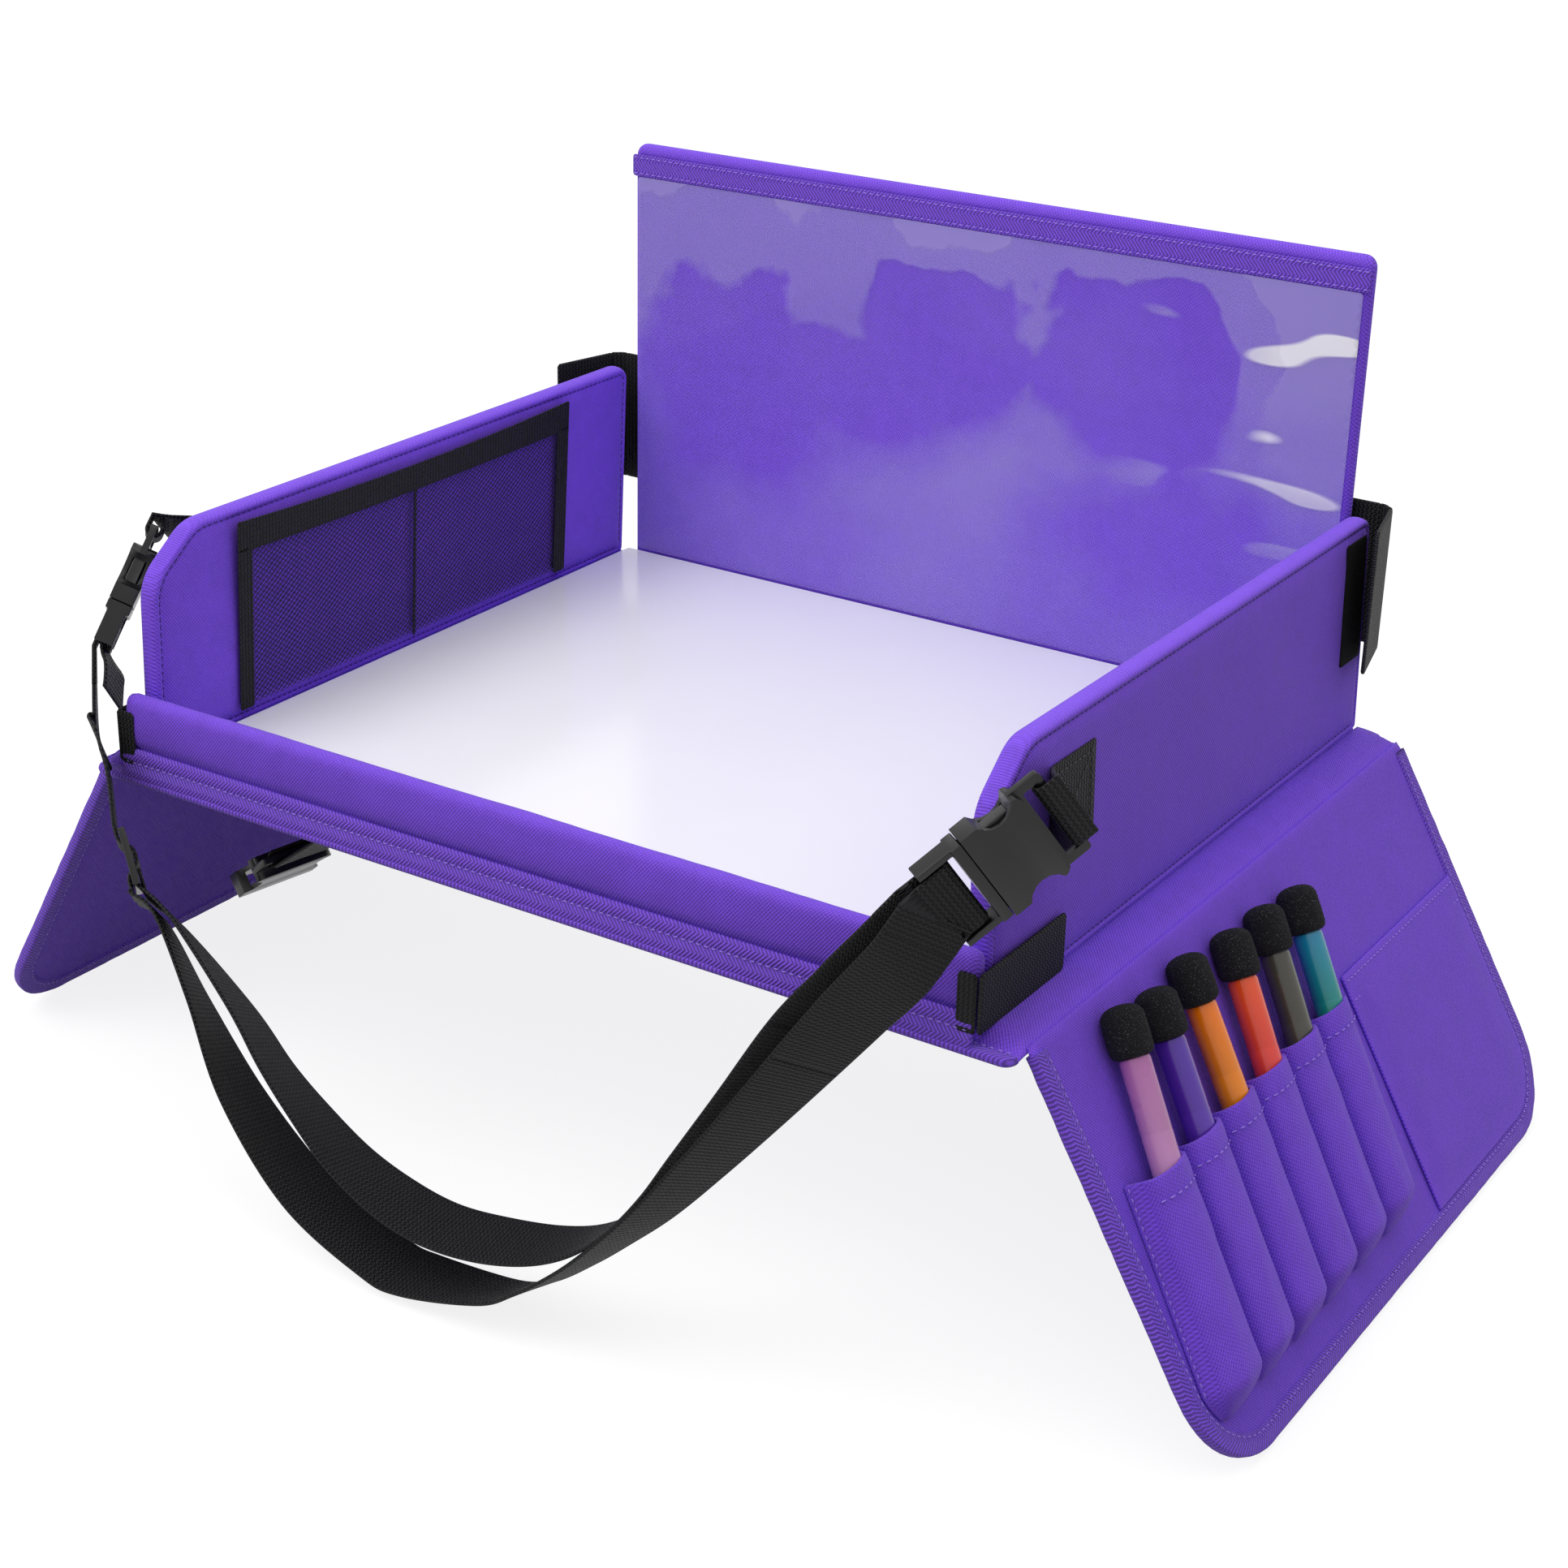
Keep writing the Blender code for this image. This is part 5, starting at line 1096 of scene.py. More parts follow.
class MakeBase(PieceOperator, bpy.types.Operator):
    """The writing film, the base's cloth cover, the foam lip and the front flange's binding"""
    bl_idname = "tray.base"
    bl_label = "Base and lip"

    def execute(self, context):
        look = finishes()
        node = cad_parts["dry_erase_top"]
        node.data.materials.clear()
        node.data.materials.append(look["Film"])
        half = 0.2352
        sheet = slab(
            "base_cover", self.plan(half, -0.1889, 0.1845, 0.0055), SKIN_FOOT_Z, SKIN_TOP_Z, TRAY,
            look["Twill"],
            edge=0.0011, pitch=0.0036, seams=((0.006, 0.0003, 0.0008),), ripple=0.0003, ripple_size=0.05,
            bend=self.shoulder,
        )
        held_by(sheet, "tray", "purple_cloth", "base_bottom_cover", "base_stiffener_board")
        core = slab(
            "base_core", rectangle((-0.2167, -0.1758), (0.2167, 0.1755)), SKIN_TOP_Z - 0.0005, -0.0018, TRAY,
            look["Twill"], edge=0.0015, pitch=0.008,
        )
        held_by(core, "tray", "purple_cloth")
        self.lip(look)
        binding = slab(
            "flange_tape", self.plan(half, -0.1898, -0.1833, 0.0058), SKIN_FOOT_Z - 0.0009,
            SKIN_TOP_Z + 0.0009,
            TRAY, look["Tape"], edge=0.0016, pitch=0.0025, ripple=0.0003, ripple_size=0.012,
        )
        held_by(binding, "tray", "purple_tape", "front_flange_binding")
        row = [TRAY @ Vector((x, -0.1842, SKIN_TOP_Z + 0.0010)) for x in np.linspace(-0.231, 0.231, 130)]
        stitched("flange_stitches", [row], "tray")
        return {"FINISHED"}

    def plan(self, half, front, back, radius):
        """An outline with its two front corners rounded."""
        return rounded([
            (-half, front, radius), (half, front, radius), (half, back, 0.0005), (-half, back, 0.0005),
        ])

    def shoulder(self, point):
        """The sheet's sides lifted to the walls' feet and rounded over to the flaps."""
        start, end = 0.2150, 0.2352
        reach = (abs(point.x) - start) / (end - start)
        if reach < 0:
            lift = max(0.0, 1 + reach * 6)
        else:
            lift = math.sqrt(max(0.0, 1 - min(reach, 1.0) ** 2))
        hold = min(max((point.y + 0.1833) / 0.008, 0.0), 1.0) * min(max((0.1835 - point.y) / 0.006, 0.0), 1.0)
        return point + Vector((0, 0, 0.0064 * lift * hold))

    def lip(self, look):
        """A soft roll of foam in cloth, fuller at its foot, with a sewn crease along its front."""
        back, front, top, foot = -0.1773, -0.1863, 0.029, -0.0085
        count = 40
        rows, uvs = [], []
        steps = np.concatenate(
            [[0, 0.0008, 0.002, 0.004], np.linspace(0.007, 0.427, 150), [0.430, 0.432, 0.4332, 0.434]],
        )
        for run in steps:
            x = run - 0.217
            near_end = min(run, 0.434 - run)
            pinch = math.sqrt(max(0.0, 1 - (1 - min(near_end / 0.004, 1)) ** 2)) * 0.85 + 0.15
            for index in range(count):
                share = index / count
                y, z = self.section(share, back, front, top, foot)
                middle = (back + front) / 2
                wave = noise.noise(Vector((x / 0.045, z / 0.02, 1.3))) * 0.0006
                wave += noise.noise(Vector((x / 0.012, z / 0.02, 7.3))) * 0.00025
                y = middle + (y - middle) * pinch
                y += wave * (1 if y < middle else -1)
                z = foot + (z - foot) * (1 - (1 - pinch) * 0.12)
                rows.append(TRAY @ Vector((x, y, z)))
                uvs.append((x, share * 0.09))
        rings = [rows[start:start + count] for start in range(0, len(rows), count)]
        made = lofted("front_lip", rings, look["Twill"], uvs)
        held_by(made, "tray", "purple_cloth", "front_lip_cover", "front_lip_foam")
        self.band(steps, look)

    def band(self, steps, look):
        """Tape in two woven rows over the lip's foot, with a sewn groove between them."""
        profile = [
            (-0.1862, 0.0042), (-0.1866, 0.0049), (-0.1872, 0.0047), (-0.1878, 0.0036), (-0.1884, 0.0016),
        ]
        profile += [
            (-0.1885, 0.0000), (-0.1881, -0.0013), (-0.1882, -0.0022), (-0.1888, -0.0036), (-0.1893, -0.0058),
        ]
        profile += [(-0.1894, -0.0080), (-0.1892, -0.0092), (-0.1862, -0.0092)]
        rows, uvs = [], []
        for run in steps:
            x = run - 0.217
            for y, z in profile:
                wave = noise.noise(Vector((x / 0.009, z / 0.006, 4.1))) * 0.00022 if y < -0.187 else 0.0
                rows.append(TRAY @ Vector((x, y + wave, z)))
                uvs.append((x, z * 1.12 + 0.0015))
        rings = [rows[start:start + len(profile)] for start in range(0, len(rows), len(profile))]
        made = lofted("lip_tape", rings, look["Tape"], uvs)
        held_by(made, "tray", "purple_tape")
        row = [TRAY @ Vector((x, -0.1882, -0.0015)) for x in np.linspace(-0.214, 0.214, 120)]
        stitched("lip_stitches", [row], "tray")

    def section(self, share, back, front, top, foot):
        """One point of the lip's section: up its back, over its top and down its front."""
        radius = (back - front) / 2
        height = top - radius - foot
        total = 2 * height + math.pi * radius + 2 * radius
        run = share * total
        if run < height:
            return back, foot + run
        run -= height
        if run < math.pi * radius:
            angle = run / radius
            return (back + front) / 2 + radius * math.cos(angle), top - radius + radius * math.sin(angle)
        run -= math.pi * radius
        if run < height:
            z = top - radius - run
            crease = 0.0022 * math.exp(-((z - 0.004) / 0.0022) ** 2)
            swell = 0.0009 * math.exp(-((z - 0.015) / 0.008) ** 2)
            pinch = 0.003 * max(0.0, (0.0 - z) / 0.0085) ** 2
            return front + crease - swell + pinch, z
        run -= height
        return front + 0.003 + (back - front - 0.003) * run / (2 * radius), foot


class MakeWalls(PieceOperator, bpy.types.Operator):
    """The two side walls with their seams, loop patches and stitches"""
    bl_idname = "tray.walls"
    bl_label = "Side walls"

    def execute(self, context):
        look = finishes()
        outline = wall_outline()
        for name, side in SIDES:
            low, high = sorted((side * WALL_INNER, side * WALL_OUTER))
            wall = slab(
                f"{name}_wall", outline, low, high, wall_place(side) @ ON_SIDE, look["Twill"], edge=0.0022,
                pitch=0.004, seams=((0.0038, 0.0010, 0.0008),), swell=(0.0006, 0.0006), ripple=0.0006,
                ripple_size=0.035,
            )
            held_by(wall, f"{name}_wall", "purple_cloth", f"{name}_wall_outer_cover", f"{name}_wall_inner_cover",
                    f"{name}_wall_board")
            loop = inset_row(outline, 0.0038)
            rows = []
            for x in (side * (WALL_INNER + 0.0007), side * (WALL_OUTER - 0.0007)):
                rows.append([wall_place(side) @ Vector((x, y, z)) for y, z in [*loop, loop[0]]])
            stitched(f"{name}_wall_stitches", rows, f"{name}_wall", "Seam thread")
            out = side * (WALL_OUTER + 0.0003)
            low, high = sorted((out, out + side * 0.0012))
            patch = slab(
                f"{name}_loop_patch", rectangle((0.1462, 0.036), (0.1682, 0.094)), low, high,
                wall_place(side) @ ON_SIDE, look["Pile"], edge=0.0006, pitch=0.003,
            )
            held_by(patch, f"{name}_wall", "black_webbing", f"{name}_back_loop_patch")
        return {"FINISHED"}


class MakePanel(PieceOperator, bpy.types.Operator):
    """The back panel, its clear window pocket and the tape along the pocket's top"""
    bl_idname = "tray.panel"
    bl_label = "Back panel"

    def execute(self, context):
        look = finishes()
        place = TRAY @ ON_BACK
        panel = slab(
            "back_panel", rounded([
                (-PANEL_HALF, PANEL_FOOT_Z, 0.002), (PANEL_HALF, PANEL_FOOT_Z, 0.002),
                (PANEL_HALF, PANEL_HEIGHT, 0.006), (-PANEL_HALF, PANEL_HEIGHT, 0.006),
            ]), PANEL_FRONT_Y, PANEL_BACK_Y, place, look["Twill"], edge=0.004, pitch=0.005,
            seams=((0.0062, 0.0005, 0.0010),), swell=(0.0, 0.0006), ripple=0.0004, ripple_size=0.05,
        )
        held_by(panel, "back_panel", "purple_cloth", "back_panel_rear_cover", "back_panel_front_cover",
                "back_panel_board")
        reach = PANEL_HALF - 0.003
        vinyl = slab(
            "window_film", rectangle((-reach, 0.001), (reach, 0.2012)), 0.1758, 0.1764, place, look["Vinyl"],
            edge=0.0003, pitch=0.006, ripple=0.0, swell=(0.0004, -0.0001),
        )
        held_by(vinyl, "back_panel", "vinyl", "clear_window_pocket")
        tape = slab(
            "window_tape", rectangle((-PANEL_HALF, 0.2015), (PANEL_HALF, 0.2125)), 0.1755, 0.1764, place,
            look["Tape"], edge=0.0005, pitch=0.003, swell=(0.0, 0.0),
        )
        held_by(tape, "back_panel", "purple_tape", "window_top_tape")
        rows = [
            [TRAY @ Vector((x, 0.1754, z)) for x in np.linspace(-0.199, 0.199, 120)] for z in (0.2030, 0.2110)
        ]
        stitched("tape_stitches", rows, "back_panel")
        return {"FINISHED"}


class MakeTabs(PieceOperator, bpy.types.Operator):
    """Hook and loop tabs at the back corners and the front corners"""
    bl_idname = "tray.tabs"
    bl_label = "Corner tabs"

    def execute(self, context):
        look = finishes()
        for name, side in SIDES:
            self.hook_tab(name, side, look)
            self.corner_tab(name, side, look)
        return {"FINISHED"}

    def hook_tab(self, name, side, look):
        corner_y = 0.1867
        low, high = sorted((side * (0.2185 - 0.0050), side * (0.2185 - 0.026)))
        anchor = slab(
            f"{name}_hook_strip_sewn", rectangle((low, 0.036), (high, 0.104)), corner_y - 0.0009,
            corner_y + 0.0009,
            TRAY @ ON_BACK, look["Webbing"], edge=0.0008, pitch=0.003,
        )
        held_by(anchor, "back_panel", "black_webbing", f"{name}_hook_tab_anchor")
        turned = Matrix.Translation((side * 0.2185, corner_y, 0)) @ Matrix.Rotation(
            side * math.radians(13), 4, "Z",
        )
        route = []
        for step in range(9):
            angle = math.radians(90 - 55 * step / 8)
            spot = (
                side * (0.2131 + 0.0054 * math.cos(angle)), corner_y - 0.0054 + 0.0054 * math.sin(angle),
                0.070,
            )
            route.append((Vector(spot), Vector((0, 0, 1))))
        route += [(turned @ Vector((0, reach, 0.070)), Vector((0, 0, 1))) for reach in (-0.0036, -0.0046)]
        turn = webbing_strip(f"{name}_hook_turn", route, TRAY, look["Webbing"], width=0.068)
        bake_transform(turn)
        loose = slab(
            f"{name}_hook_strip", rectangle((-0.042, 0.036), (-0.0043, 0.104)), -0.0009, 0.0009,
            TRAY @ turned @ ON_SIDE, look["Webbing"], edge=0.0008, pitch=0.003, ripple=0.0006,
            ripple_size=0.03,
        )
        held_by(loose, f"{name}_hook_tab", "black_webbing", f"{name}_hook_tab")

    def corner_tab(self, name, side, look):
        corner = Vector((side * 0.2193, -0.1863 - 0.0003 - 0.0009, 0))
        low, high = sorted((corner.x - side * 0.0012, corner.x - side * 0.0095))
        anchor = slab(
            f"{name}_corner_strip_sewn", rectangle((low, -0.003), (high, 0.022)), corner.y - 0.0009,
            corner.y + 0.0009, TRAY @ ON_BACK, look["Webbing"], edge=0.0008, pitch=0.002,
        )
        held_by(anchor, "tray", "black_webbing", f"{name}_corner_tab_anchor")
        loose = slab(
            f"{name}_corner_strip", rectangle((0, -0.003), (0.066, 0.022)), -0.0009, 0.0009,
            TRAY @ Matrix.Translation(corner) @ ON_SIDE, look["Webbing"], edge=0.0008, pitch=0.003,
        )
        held_by(loose, f"{name}_corner_tab", "black_webbing", f"{name}_corner_tab")


class MakeMeshPocket(PieceOperator, bpy.types.Operator):
    """The net pocket on the left wall, with its bound edges and divider"""
    bl_idname = "tray.mesh_pocket"
    bl_label = "Mesh pocket"

    def execute(self, context):
        look = finishes()
        place = wall_place(-1)
        self.net(context, place, look)
        front, back, foot, top = -0.126, 0.118, 0.004, 0.096
        for label, low, high in (
            ("top", (front, top - 0.015), (back, top)),
            ("front", (front, foot), (front + 0.009, top - 0.013)),
            ("back", (back - 0.009, foot), (back, top - 0.013)),
            ("middle", (-0.0042, foot), (-0.0026, top - 0.013)),
        ):
            nodes = ["mesh_pocket_band"] if label == "top" else []
            made = slab(
                f"pocket_{label}_strip", rectangle(low, high, 0.001), 0, 0.0009, place @ self.lean(),
                look["Webbing"],
                edge=0.0004, pitch=0.003, bend=self.sagging,
            )
            held_by(made, "left_wall", "black_webbing", *nodes)
        return {"FINISHED"}

    def lean(self):
        """The net's plane: close to the wall at its foot and a few millimetres off it at its mouth."""
        tilt = math.atan2(0.0016, 0.092)
        spot = Matrix.Translation((-0.0017, 0, 0.004)) @ Matrix.Rotation(tilt, 4, "Y")
        return spot @ Matrix.Translation((0, 0, -0.004)) @ ON_SIDE

    def sagging(self, point):
        """The band's middle hangs a little lower than its two sewn ends."""
        share = min(abs(point.x + 0.004) / 0.122, 1.0)
        fall = 0.0035 * (1 - share ** 2) * max(0.0, (point.y - 0.070) / 0.026)
        return Vector((point.x, point.y - fall, point.z + 0.0008))

    def net(self, context, place, look):
        pitch = context.scene.tray_trim.net_pitch
        tall = pitch * 0.72
        front, back, foot, top = -0.124, 0.116, 0.005, 0.085
        columns = int((back - front) / pitch)
        rows = int((top - foot) / (tall / 2))
        points, faces, uvs = [], [], []
        spots = {}

        def spot(a, b, shrink, centre):
            y = centre[0] + (a - centre[0]) * shrink
            z = centre[1] + (b - centre[1]) * shrink
            key = (round(y, 6), round(z, 6))
            if key not in spots:
                spots[key] = len(points)
                points.append(Vector((y, z, 0)))
                uvs.append((y, z))
            return spots[key]

        shrink = 0.85
        for row in range(rows):
            for column in range(columns):
                centre = (front + (column + (0.5 if row % 2 else 1.0)) * pitch, foot + (row + 1) * tall / 2)
                corners = [(centre[0] + dy * pitch / 2, centre[1] + dz * tall / 2)
                           for dy, dz in ((-1, 0), (0, -1), (1, 0), (0, 1))]
                for index in range(4):
                    a, b = corners[index], corners[(index + 1) % 4]
                    faces.append((spot(*a, 1, centre), spot(*b, 1, centre), spot(*b, shrink, centre),
                                  spot(*a, shrink, centre)))
        mesh = bpy.data.meshes.new("pocket_net")
        mesh.from_pydata([tuple(place @ self.lean() @ self.sagging(point)) for point in points], [], faces)
        layer = mesh.uv_layers.new(name="cloth")
        for loop in mesh.loops:
            layer.data[loop.index].uv = uvs[loop.vertex_index]
        mesh.materials.append(look["Net"])
        made = bpy.data.objects.new("pocket_net", mesh)
        bpy.context.scene.collection.objects.link(made)
        thick = made.modifiers.new("Thread", "SOLIDIFY")
        thick.thickness = 0.00025
        thick.offset = 0
        held_by(made, "left_wall", "black_net", "mesh_pocket_net")


class MakeFlaps(PieceOperator, bpy.types.Operator):
    """The two hanging side flaps with their bindings, and the flat pocket on the right one"""
    bl_idname = "tray.flaps"
    bl_label = "Side flaps"

    def execute(self, context):
        look = finishes()
        for name, side in SIDES:
            outline = rounded([
                (FLAP_FRONT_Y, FLAP_TOP, 0), (FLAP_FRONT_Y, -FLAP_LENGTH, FLAP_CORNER),
                (FLAP_BACK_Y, -FLAP_LENGTH, FLAP_CORNER), (FLAP_BACK_Y, FLAP_TOP, 0),
            ], 12)
            place = flap_place(side)
            panel = slab(
                f"{name}_flap", outline, -0.0015, 0.0015, place @ ON_SIDE, look["Twill"], edge=0.0012,
                pitch=0.005,
                ripple=0.0004, ripple_size=0.06,
            )
            held_by(panel, f"{name}_flap", "purple_cloth", f"{name}_flap_panel")
            self.binding(name, outline, place, look)
        self.pocket(look)
        return {"FINISHED"}

    def binding(self, name, outline, place, look):
        """Tape folded over the flap's free edges."""
        path = spaced(outline, 0.003)
        start = len(outline) - 1
        corners = np.array(outline)
        first = int(np.argmin(np.linalg.norm(path - corners[0], axis=1)))
        last = int(np.argmin(np.linalg.norm(path - corners[start], axis=1)))
        path = path[first:last + 1]
        ahead = np.gradient(path, axis=0)
        inward = np.stack([-ahead[:, 1], ahead[:, 0]], axis=1) / np.linalg.norm(ahead, axis=1)[:, None]
        section = [
            (-0.6, 0), (-0.55, 0.55), (-0.25, 0.92), (0.3, 1), (2, 1), (6, 0.98), (8, 0.92), (8.5, 0.62),
        ]
        section = section + [(a, -b) for a, b in reversed(section) if b]
        rows, uvs, run = [], [], 0.0
        for index, (point, turn) in enumerate(zip(path, inward)):
            if index:
                run += float(np.linalg.norm(point - path[index - 1]))
            pucker = noise.noise(Vector((run / 0.007, 0.5, 0.3))) * 0.12 + 1
            row = []
            for a, b in section:
                y, z = point + turn * (a * 0.001)
                row.append(
                    place @ Vector((b * BAND_HALF * (pucker if abs(b) > 0.5 else 1), y, min(z, -0.0008))),
                )
                uvs.append((run, a * 0.001))
            rows.append(row)
        tape = lofted(f"{name}_flap_tape", rows, look["Tape"], uvs)
        held_by(tape, f"{name}_flap", "purple_tape", f"{name}_flap_binding")
        lines = []
        for x in (-BAND_HALF - 0.0001, BAND_HALF + 0.0001):
            lines.append([place @ Vector((x, *(point + turn * 0.0068))) for point, turn in
                          list(zip(path, inward))[3:-3]])
        stitched(f"{name}_tape_stitches", lines, f"{name}_flap")

    def pocket(self, look):
        foot = 0.0088 - FLAP_LENGTH
        outline = rounded([
            (0.047, -0.063, 0.001), (0.047, foot, 0.001), (FLAP_BACK_Y - 0.0088, foot, FLAP_CORNER - 0.0088),
            (FLAP_BACK_Y - 0.0088, -0.063, 0.001),
        ], 8)
        made = slab(
            "big_pocket", outline, FLAP_FACE, FLAP_FACE + 0.0014, flap_place(1) @ ON_SIDE, look["Twill"],
            edge=0.0007,
            pitch=0.004, swell=(0, 0.0012), ripple=0.0004, ripple_size=0.03,
        )
        held_by(made, "right_flap", "purple_cloth", "big_flap_pocket")
        rows = [[flap_place(1) @ Vector((FLAP_FACE + 0.0016, y, -0.063 - drop))
                 for y in np.linspace(0.05, 0.170, 40)]
                for drop in (0.003, 0.012)]
        stitched("big_pocket_stitches", rows, "right_flap")


class MakeSleeves(PieceOperator, bpy.types.Operator):
    """The strip of six marker sleeves on the right flap"""
    bl_idname = "tray.sleeves"
    bl_label = "Marker sleeves"

    def execute(self, context):
        look = finishes()
        depths = [SLEEVE_HEM, SLEEVE_HEM + 0.0006]
        depths += list(np.linspace(SLEEVE_HEM + 0.003, SLEEVE_FOOT, 44))
        rows, uvs = [], []
        for depth in depths:
            ring, marks = self.ring(depth)
            rows.append([flap_place(1) @ point for point in ring])
            uvs += marks
        made = lofted("sleeve_strip", rows, look["Twill"], uvs)
        held_by(made, "right_flap", "purple_cloth", "pen_sleeve_strip")
        self.seams(look)
        return {"FINISHED"}

    def middle(self, index, depth):
        return SLEEVE_FIRST_Y + index * SLEEVE_PITCH - (depth - SLEEVE_HEM) * math.tan(SLEEVE_SLANT)

    def rise(self, depth):
        fall = max(0.0, (depth - SLEEVE_TAPER) / (SLEEVE_FOOT - SLEEVE_TAPER))
        return SLEEVE_RISE * (1 - 0.84 * fall ** 1.5), 1 - 0.5 * fall ** 1.5

    def ring(self, depth):
        """The strip's outer and inner sides at one depth."""
        tall, wide = self.rise(depth)
        outer, inner, marks = [], [], []
        steps = 20
        for index in range(SLEEVE_COUNT):
            centre = self.middle(index, depth)
            for step in range(steps + 1):
                angle = math.pi * step / steps
                across = -math.cos(angle)
                up = max(math.sin(angle), 0) ** 0.44
                fold = noise.noise(Vector((across * 1.6 + index * 5, depth / 0.035, 2.0))) * 0.0012
                fold += noise.noise(Vector((across * 3 + index * 3, depth / 0.012, 5.0))) * 0.0004
                fold = max(fold, 0.0) * up
                roll = 0.0006 * math.exp(-((depth - SLEEVE_HEM - 0.004) / 0.006) ** 2) * up
                y = centre + across * 0.0138 * wide
                outer.append(Vector((FLAP_FACE + 0.0012 + up * (tall - 0.0012) + fold + roll, y, -depth)))
                shift = 0.0012 * (1 if across < 0 else -1) * abs(across) ** 0.5
                inner.append(
                    Vector((FLAP_FACE + up * (tall - 0.0012) + fold * 0.8, y + shift * wide, -depth)),
                )
                marks.append((index * 0.045 + step * 0.0022, depth))
        front = outer[0].y - 0.0016
        back = outer[-1].y + 0.0016
        ring = [Vector((FLAP_FACE, front, -depth)), Vector((FLAP_FACE + 0.0012, front, -depth)), *outer,
                Vector((FLAP_FACE + 0.0012, back, -depth)), Vector((FLAP_FACE, back, -depth)),
                *reversed(inner)]
        ends = [(-0.003, depth), (-0.0016, depth)], [(0.27, depth), (0.2716, depth)]
        return ring, ends[0] + marks + ends[1] + marks[::-1]

    def seams(self, look):
        rows = []
        for index in range(SLEEVE_COUNT + 1):
            row = []
            for depth in np.linspace(SLEEVE_HEM + 0.002, SLEEVE_TAPER, 24):
                if index == 0:
                    y = self.middle(0, depth) - 0.0146
                elif index == SLEEVE_COUNT:
                    y = self.middle(SLEEVE_COUNT - 1, depth) + 0.0146
                else:
                    y = (self.middle(index - 1, depth) + self.middle(index, depth)) / 2
                row.append(flap_place(1) @ Vector((FLAP_FACE + 0.0014, y, -depth)))
            rows.append(row)
        for index in range(SLEEVE_COUNT):
            row = []
            for step in range(3, 18):
                angle = math.pi * step / 20
                depth = SLEEVE_HEM + 0.009
                up = math.sin(angle) ** 0.44
                y = self.middle(index, depth) - math.cos(angle) * 0.0138
                row.append(
                    flap_place(1) @ Vector((FLAP_FACE + 0.0015 + up * (SLEEVE_RISE - 0.0004), y, -depth)),
                )
            rows.append(row)
        stitched("sleeve_stitches", rows, "right_flap")


class MakeMarkers(PieceOperator, bpy.types.Operator):
    """Six markers with foam-topped caps"""
    bl_idname = "tray.markers"
    bl_label = "Markers"
    tops = (0.0033, 0.0068, 0.0046, 0.0087, 0.0101, 0.0132)
    slants = (12, 8, 6, 12, 12, 12)

    def execute(self, context):
        finishes()
        for index in range(6):
            at = self.place(index)
            cap, foot = -0.0205, -0.0208
            barrel = [
                (0, foot - 0.096), (0.0038, foot - 0.096), (0.0048, foot - 0.0948), (0.0063, foot - 0.090),
                (0.0063, foot - 0.030), (0.00625, foot - 0.0297), (0.00625, foot - 0.0290),
                (0.0063, foot - 0.0287),
                (0.0063, foot - 0.0012), (0.0059, foot), (0.0045, foot), (0.0045, foot + 0.011),
                (0, foot + 0.011),
            ]
            made = self.turned(
                f"marker_barrel_{index + 1}", barrel, at, bpy.data.materials[f"Barrel {index + 1}"],
            )
            held_by(made, f"marker_{index + 1}", SLOTS[index], f"marker_{index + 1}")
            dome = [(0, foot + 0.0113), (0.0048, foot + 0.0113), (0.0048, cap), (0.0068, cap), (0.0083, cap + 0.0012),
                    (0.0088, cap + 0.003), (0.0089, cap + 0.008), (0.0088, -0.0055)]
            dome += [(0.0088 * math.cos(turn) ** 0.8, -0.0055 + 0.0055 * math.sin(turn))
                     for turn in np.linspace(0.2, math.pi / 2 - 0.12, 7)] + [(0, 0)]
            foam = self.turned(f"marker_foam_{index + 1}", dome, at, bpy.data.materials["Foam"], 0.00022)
            held_by(foam, f"marker_cap_{index + 1}", "cap_foam", f"marker_cap_{index + 1}")
        return {"FINISHED"}

    def place(self, index):
        depth, slant = self.tops[index], math.radians(self.slants[index])
        middle = SLEEVE_FIRST_Y + index * SLEEVE_PITCH
        run = depth + (0.0208 + 0.096 + 0.020) * math.cos(slant) - SLEEVE_HEM
        shift = max(0.0035, run * (math.tan(slant) - math.tan(SLEEVE_SLANT)) / 2)
        y = middle + shift + (SLEEVE_HEM - depth) * math.tan(slant)
        return flap_place(1) @ Matrix.Translation((FLAP_FACE + 0.0088, y, -depth)) @ Matrix.Rotation(
            -slant, 4, "X",
        )

    def turned(self, name, profile, at, material, rough=0.0):
        sides = 48
        points, faces, uvs, rings = [], [], [], []
        for radius, height in profile:
            ring = []
            for side in range(sides if radius else 1):
                angle = math.tau * side / sides
                grow = radius
                if rough and radius > 0.006:
                    spot = Vector((math.cos(angle) * 4, math.sin(angle) * 4, height * 900 + len(name)))
                    grow += noise.noise(spot) * rough
                ring.append(len(points))
                points.append(at @ Vector((grow * math.cos(angle), grow * math.sin(angle), height)))
                uvs.append((angle * 0.006, height))
            rings.append(ring)
        for ring, following in zip(rings, rings[1:]):
            for side in range(sides):
                after = (side + 1) % sides
                corners = [ring[side % len(ring)], ring[after % len(ring)]]
                corners += [following[after % len(following)], following[side % len(following)]]
                faces.append(tuple(dict.fromkeys(corners)))
        made = settle(name, points, faces, material, uvs)
        made.data.set_sharp_from_angle(angle=math.radians(50))
        return made


SLOTS = ("barrel_lilac", "barrel_purple", "barrel_orange", "barrel_red", "barrel_grey", "barrel_teal")


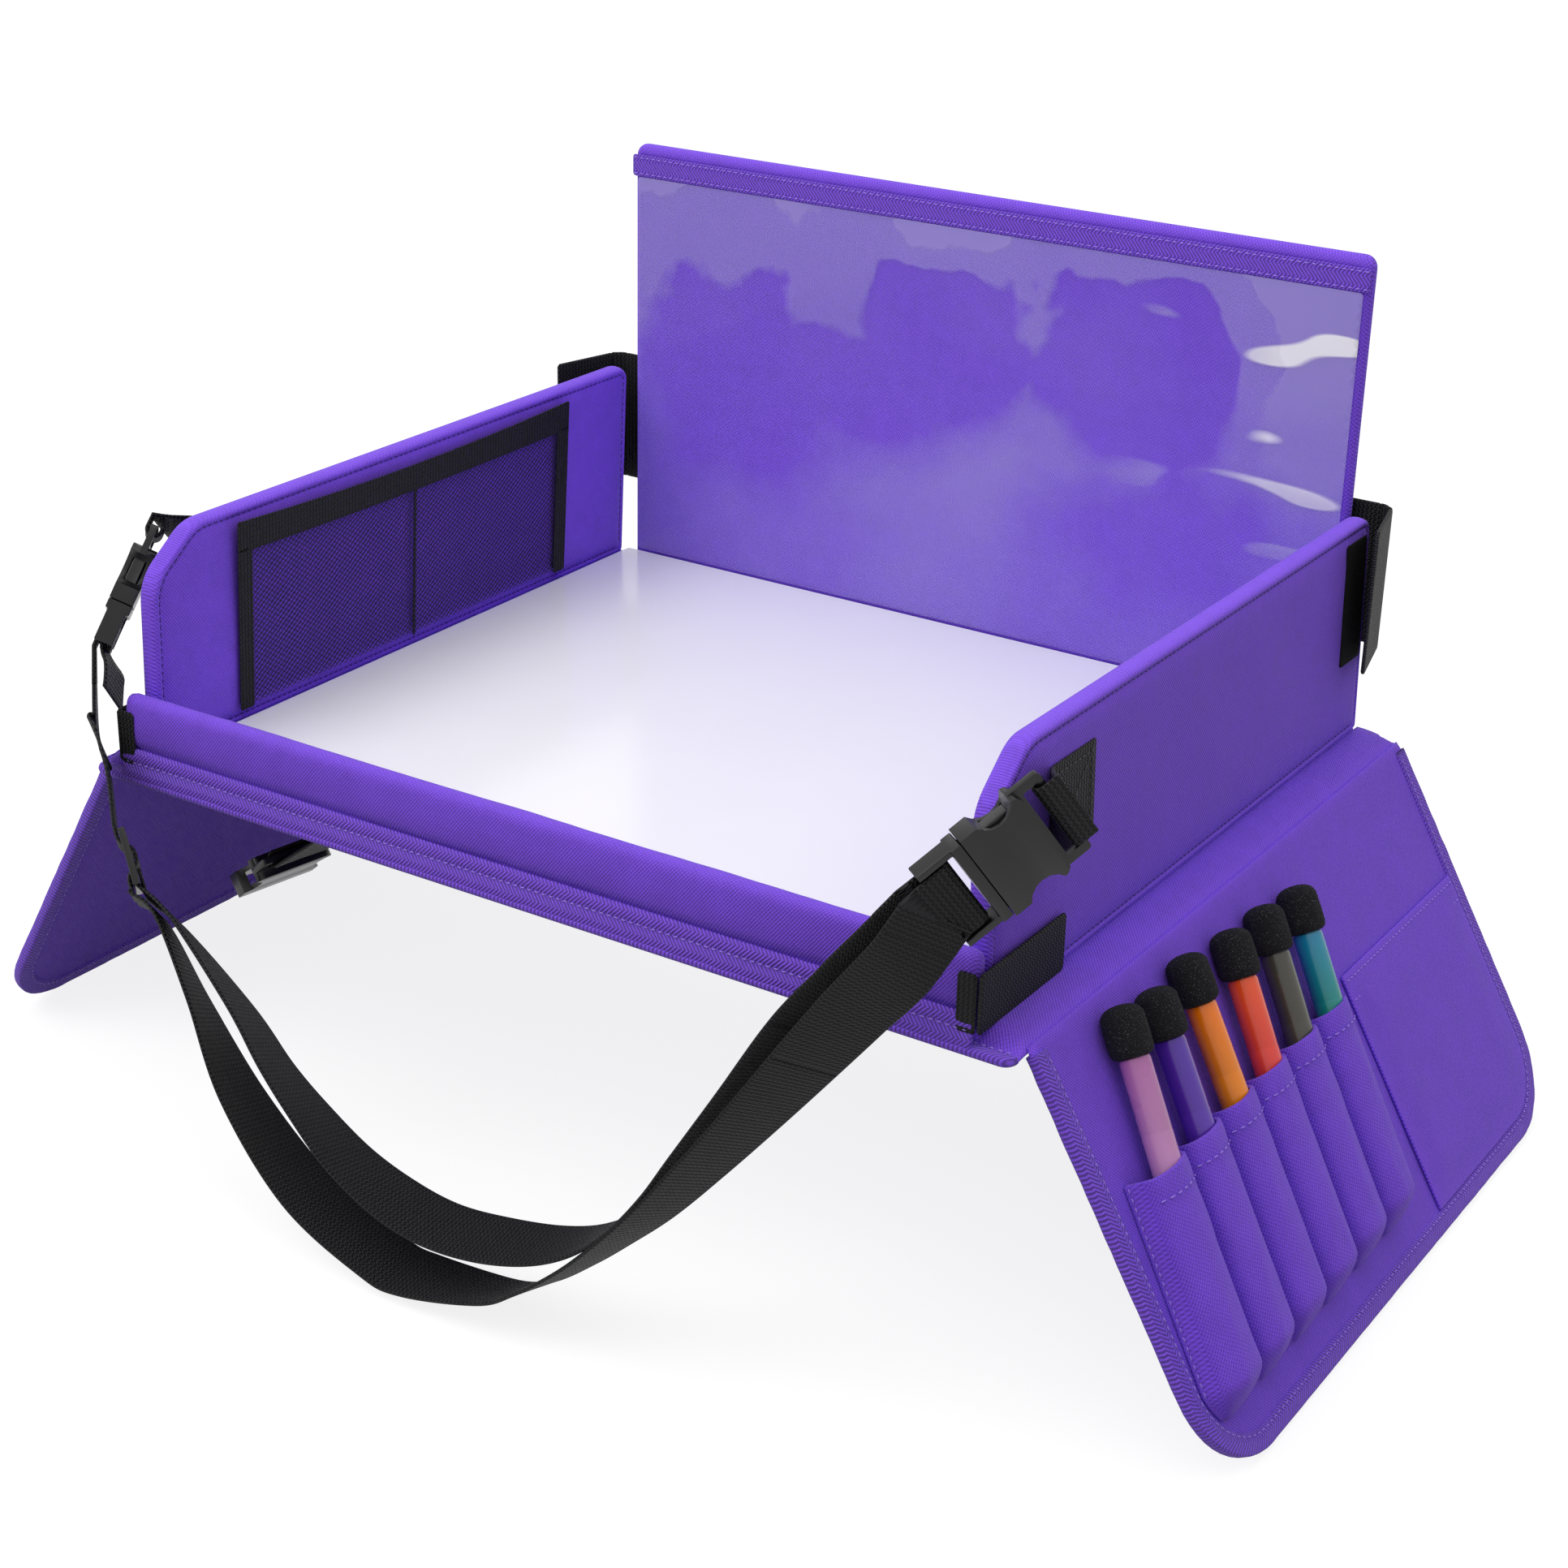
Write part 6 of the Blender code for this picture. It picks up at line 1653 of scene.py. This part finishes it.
class MakeBuckles(PieceOperator, bpy.types.Operator):
    """The side-release buckles and the strap's adjuster, with their edges broken"""
    bl_idname = "tray.buckles"
    bl_label = "Buckles"

    def execute(self, context):
        look = finishes()
        for node, body in (
            ("left_female_buckle", "left_wall"), ("right_female_buckle", "right_wall"),
            ("left_male_buckle", "left_male_buckle"), ("right_male_buckle", "right_male_buckle"),
            ("under_tray_buckle", "under_tray_buckle"), ("strap_adjuster", "tray"),
        ):
            self.broken(node, body, look)
        return {"FINISHED"}

    def broken(self, node, body, look):
        shape = bmesh.new()
        shape.from_mesh(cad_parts[node].data)
        bmesh.ops.remove_doubles(shape, verts=shape.verts, dist=1e-6)
        bmesh.ops.dissolve_limit(shape, angle_limit=math.radians(2), verts=shape.verts, edges=shape.edges)
        mesh = bpy.data.meshes.new(node + "_moulded")
        shape.to_mesh(mesh)
        shape.free()
        mesh.materials.clear()
        mesh.materials.append(look["Plastic"])
        made = bpy.data.objects.new(node + "_moulded", mesh)
        bpy.context.scene.collection.objects.link(made)
        bevel = made.modifiers.new("Edges", "BEVEL")
        bevel.width = 0.0005
        bevel.segments = 2
        bevel.limit_method = "ANGLE"
        bevel.angle_limit = math.radians(35)
        bevel.harden_normals = True
        mesh.shade_smooth()
        held_by(made, body, "black_plastic", node)


class TrayPanel(bpy.types.Panel):
    """Lists the pieces and their settings"""
    bl_idname = "VIEW3D_PT_seat_tray"
    bl_label = "Seat Tray"
    bl_space_type = "VIEW_3D"
    bl_region_type = "UI"
    bl_category = "Seat Tray"

    def draw(self, context):
        scene = context.scene
        for settings in (scene.tray_cloth, scene.tray_trim, scene.tray_stage):
            box = self.layout.box()
            for name in settings.__annotations__:
                box.prop(settings, name)
        for operator in OPERATORS:
            self.layout.operator(operator.bl_idname)


OPERATORS = (
    MakeStage, MakeStrap, MakeBase, MakeWalls, MakePanel, MakeTabs, MakeMeshPocket, MakeFlaps, MakeSleeves,
    MakeMarkers, MakeBuckles,
)
GROUPS = (("tray_cloth", ClothSettings), ("tray_trim", TrimSettings), ("tray_stage", StageSettings))


def register():
    for name, group in GROUPS:
        bpy.utils.register_class(group)
        setattr(bpy.types.Scene, name, PointerProperty(type=group))
    for made in (*OPERATORS, TrayPanel):
        bpy.utils.register_class(made)


def unregister():
    for made in (TrayPanel, *reversed(OPERATORS)):
        bpy.utils.unregister_class(made)
    for name, group in reversed(GROUPS):
        delattr(bpy.types.Scene, name)
        bpy.utils.unregister_class(group)


def main():
    register()
    for operator in OPERATORS:
        module, name = operator.bl_idname.split(".")
        getattr(getattr(bpy.ops, module), name)()


if __name__ == "__main__":
    main()
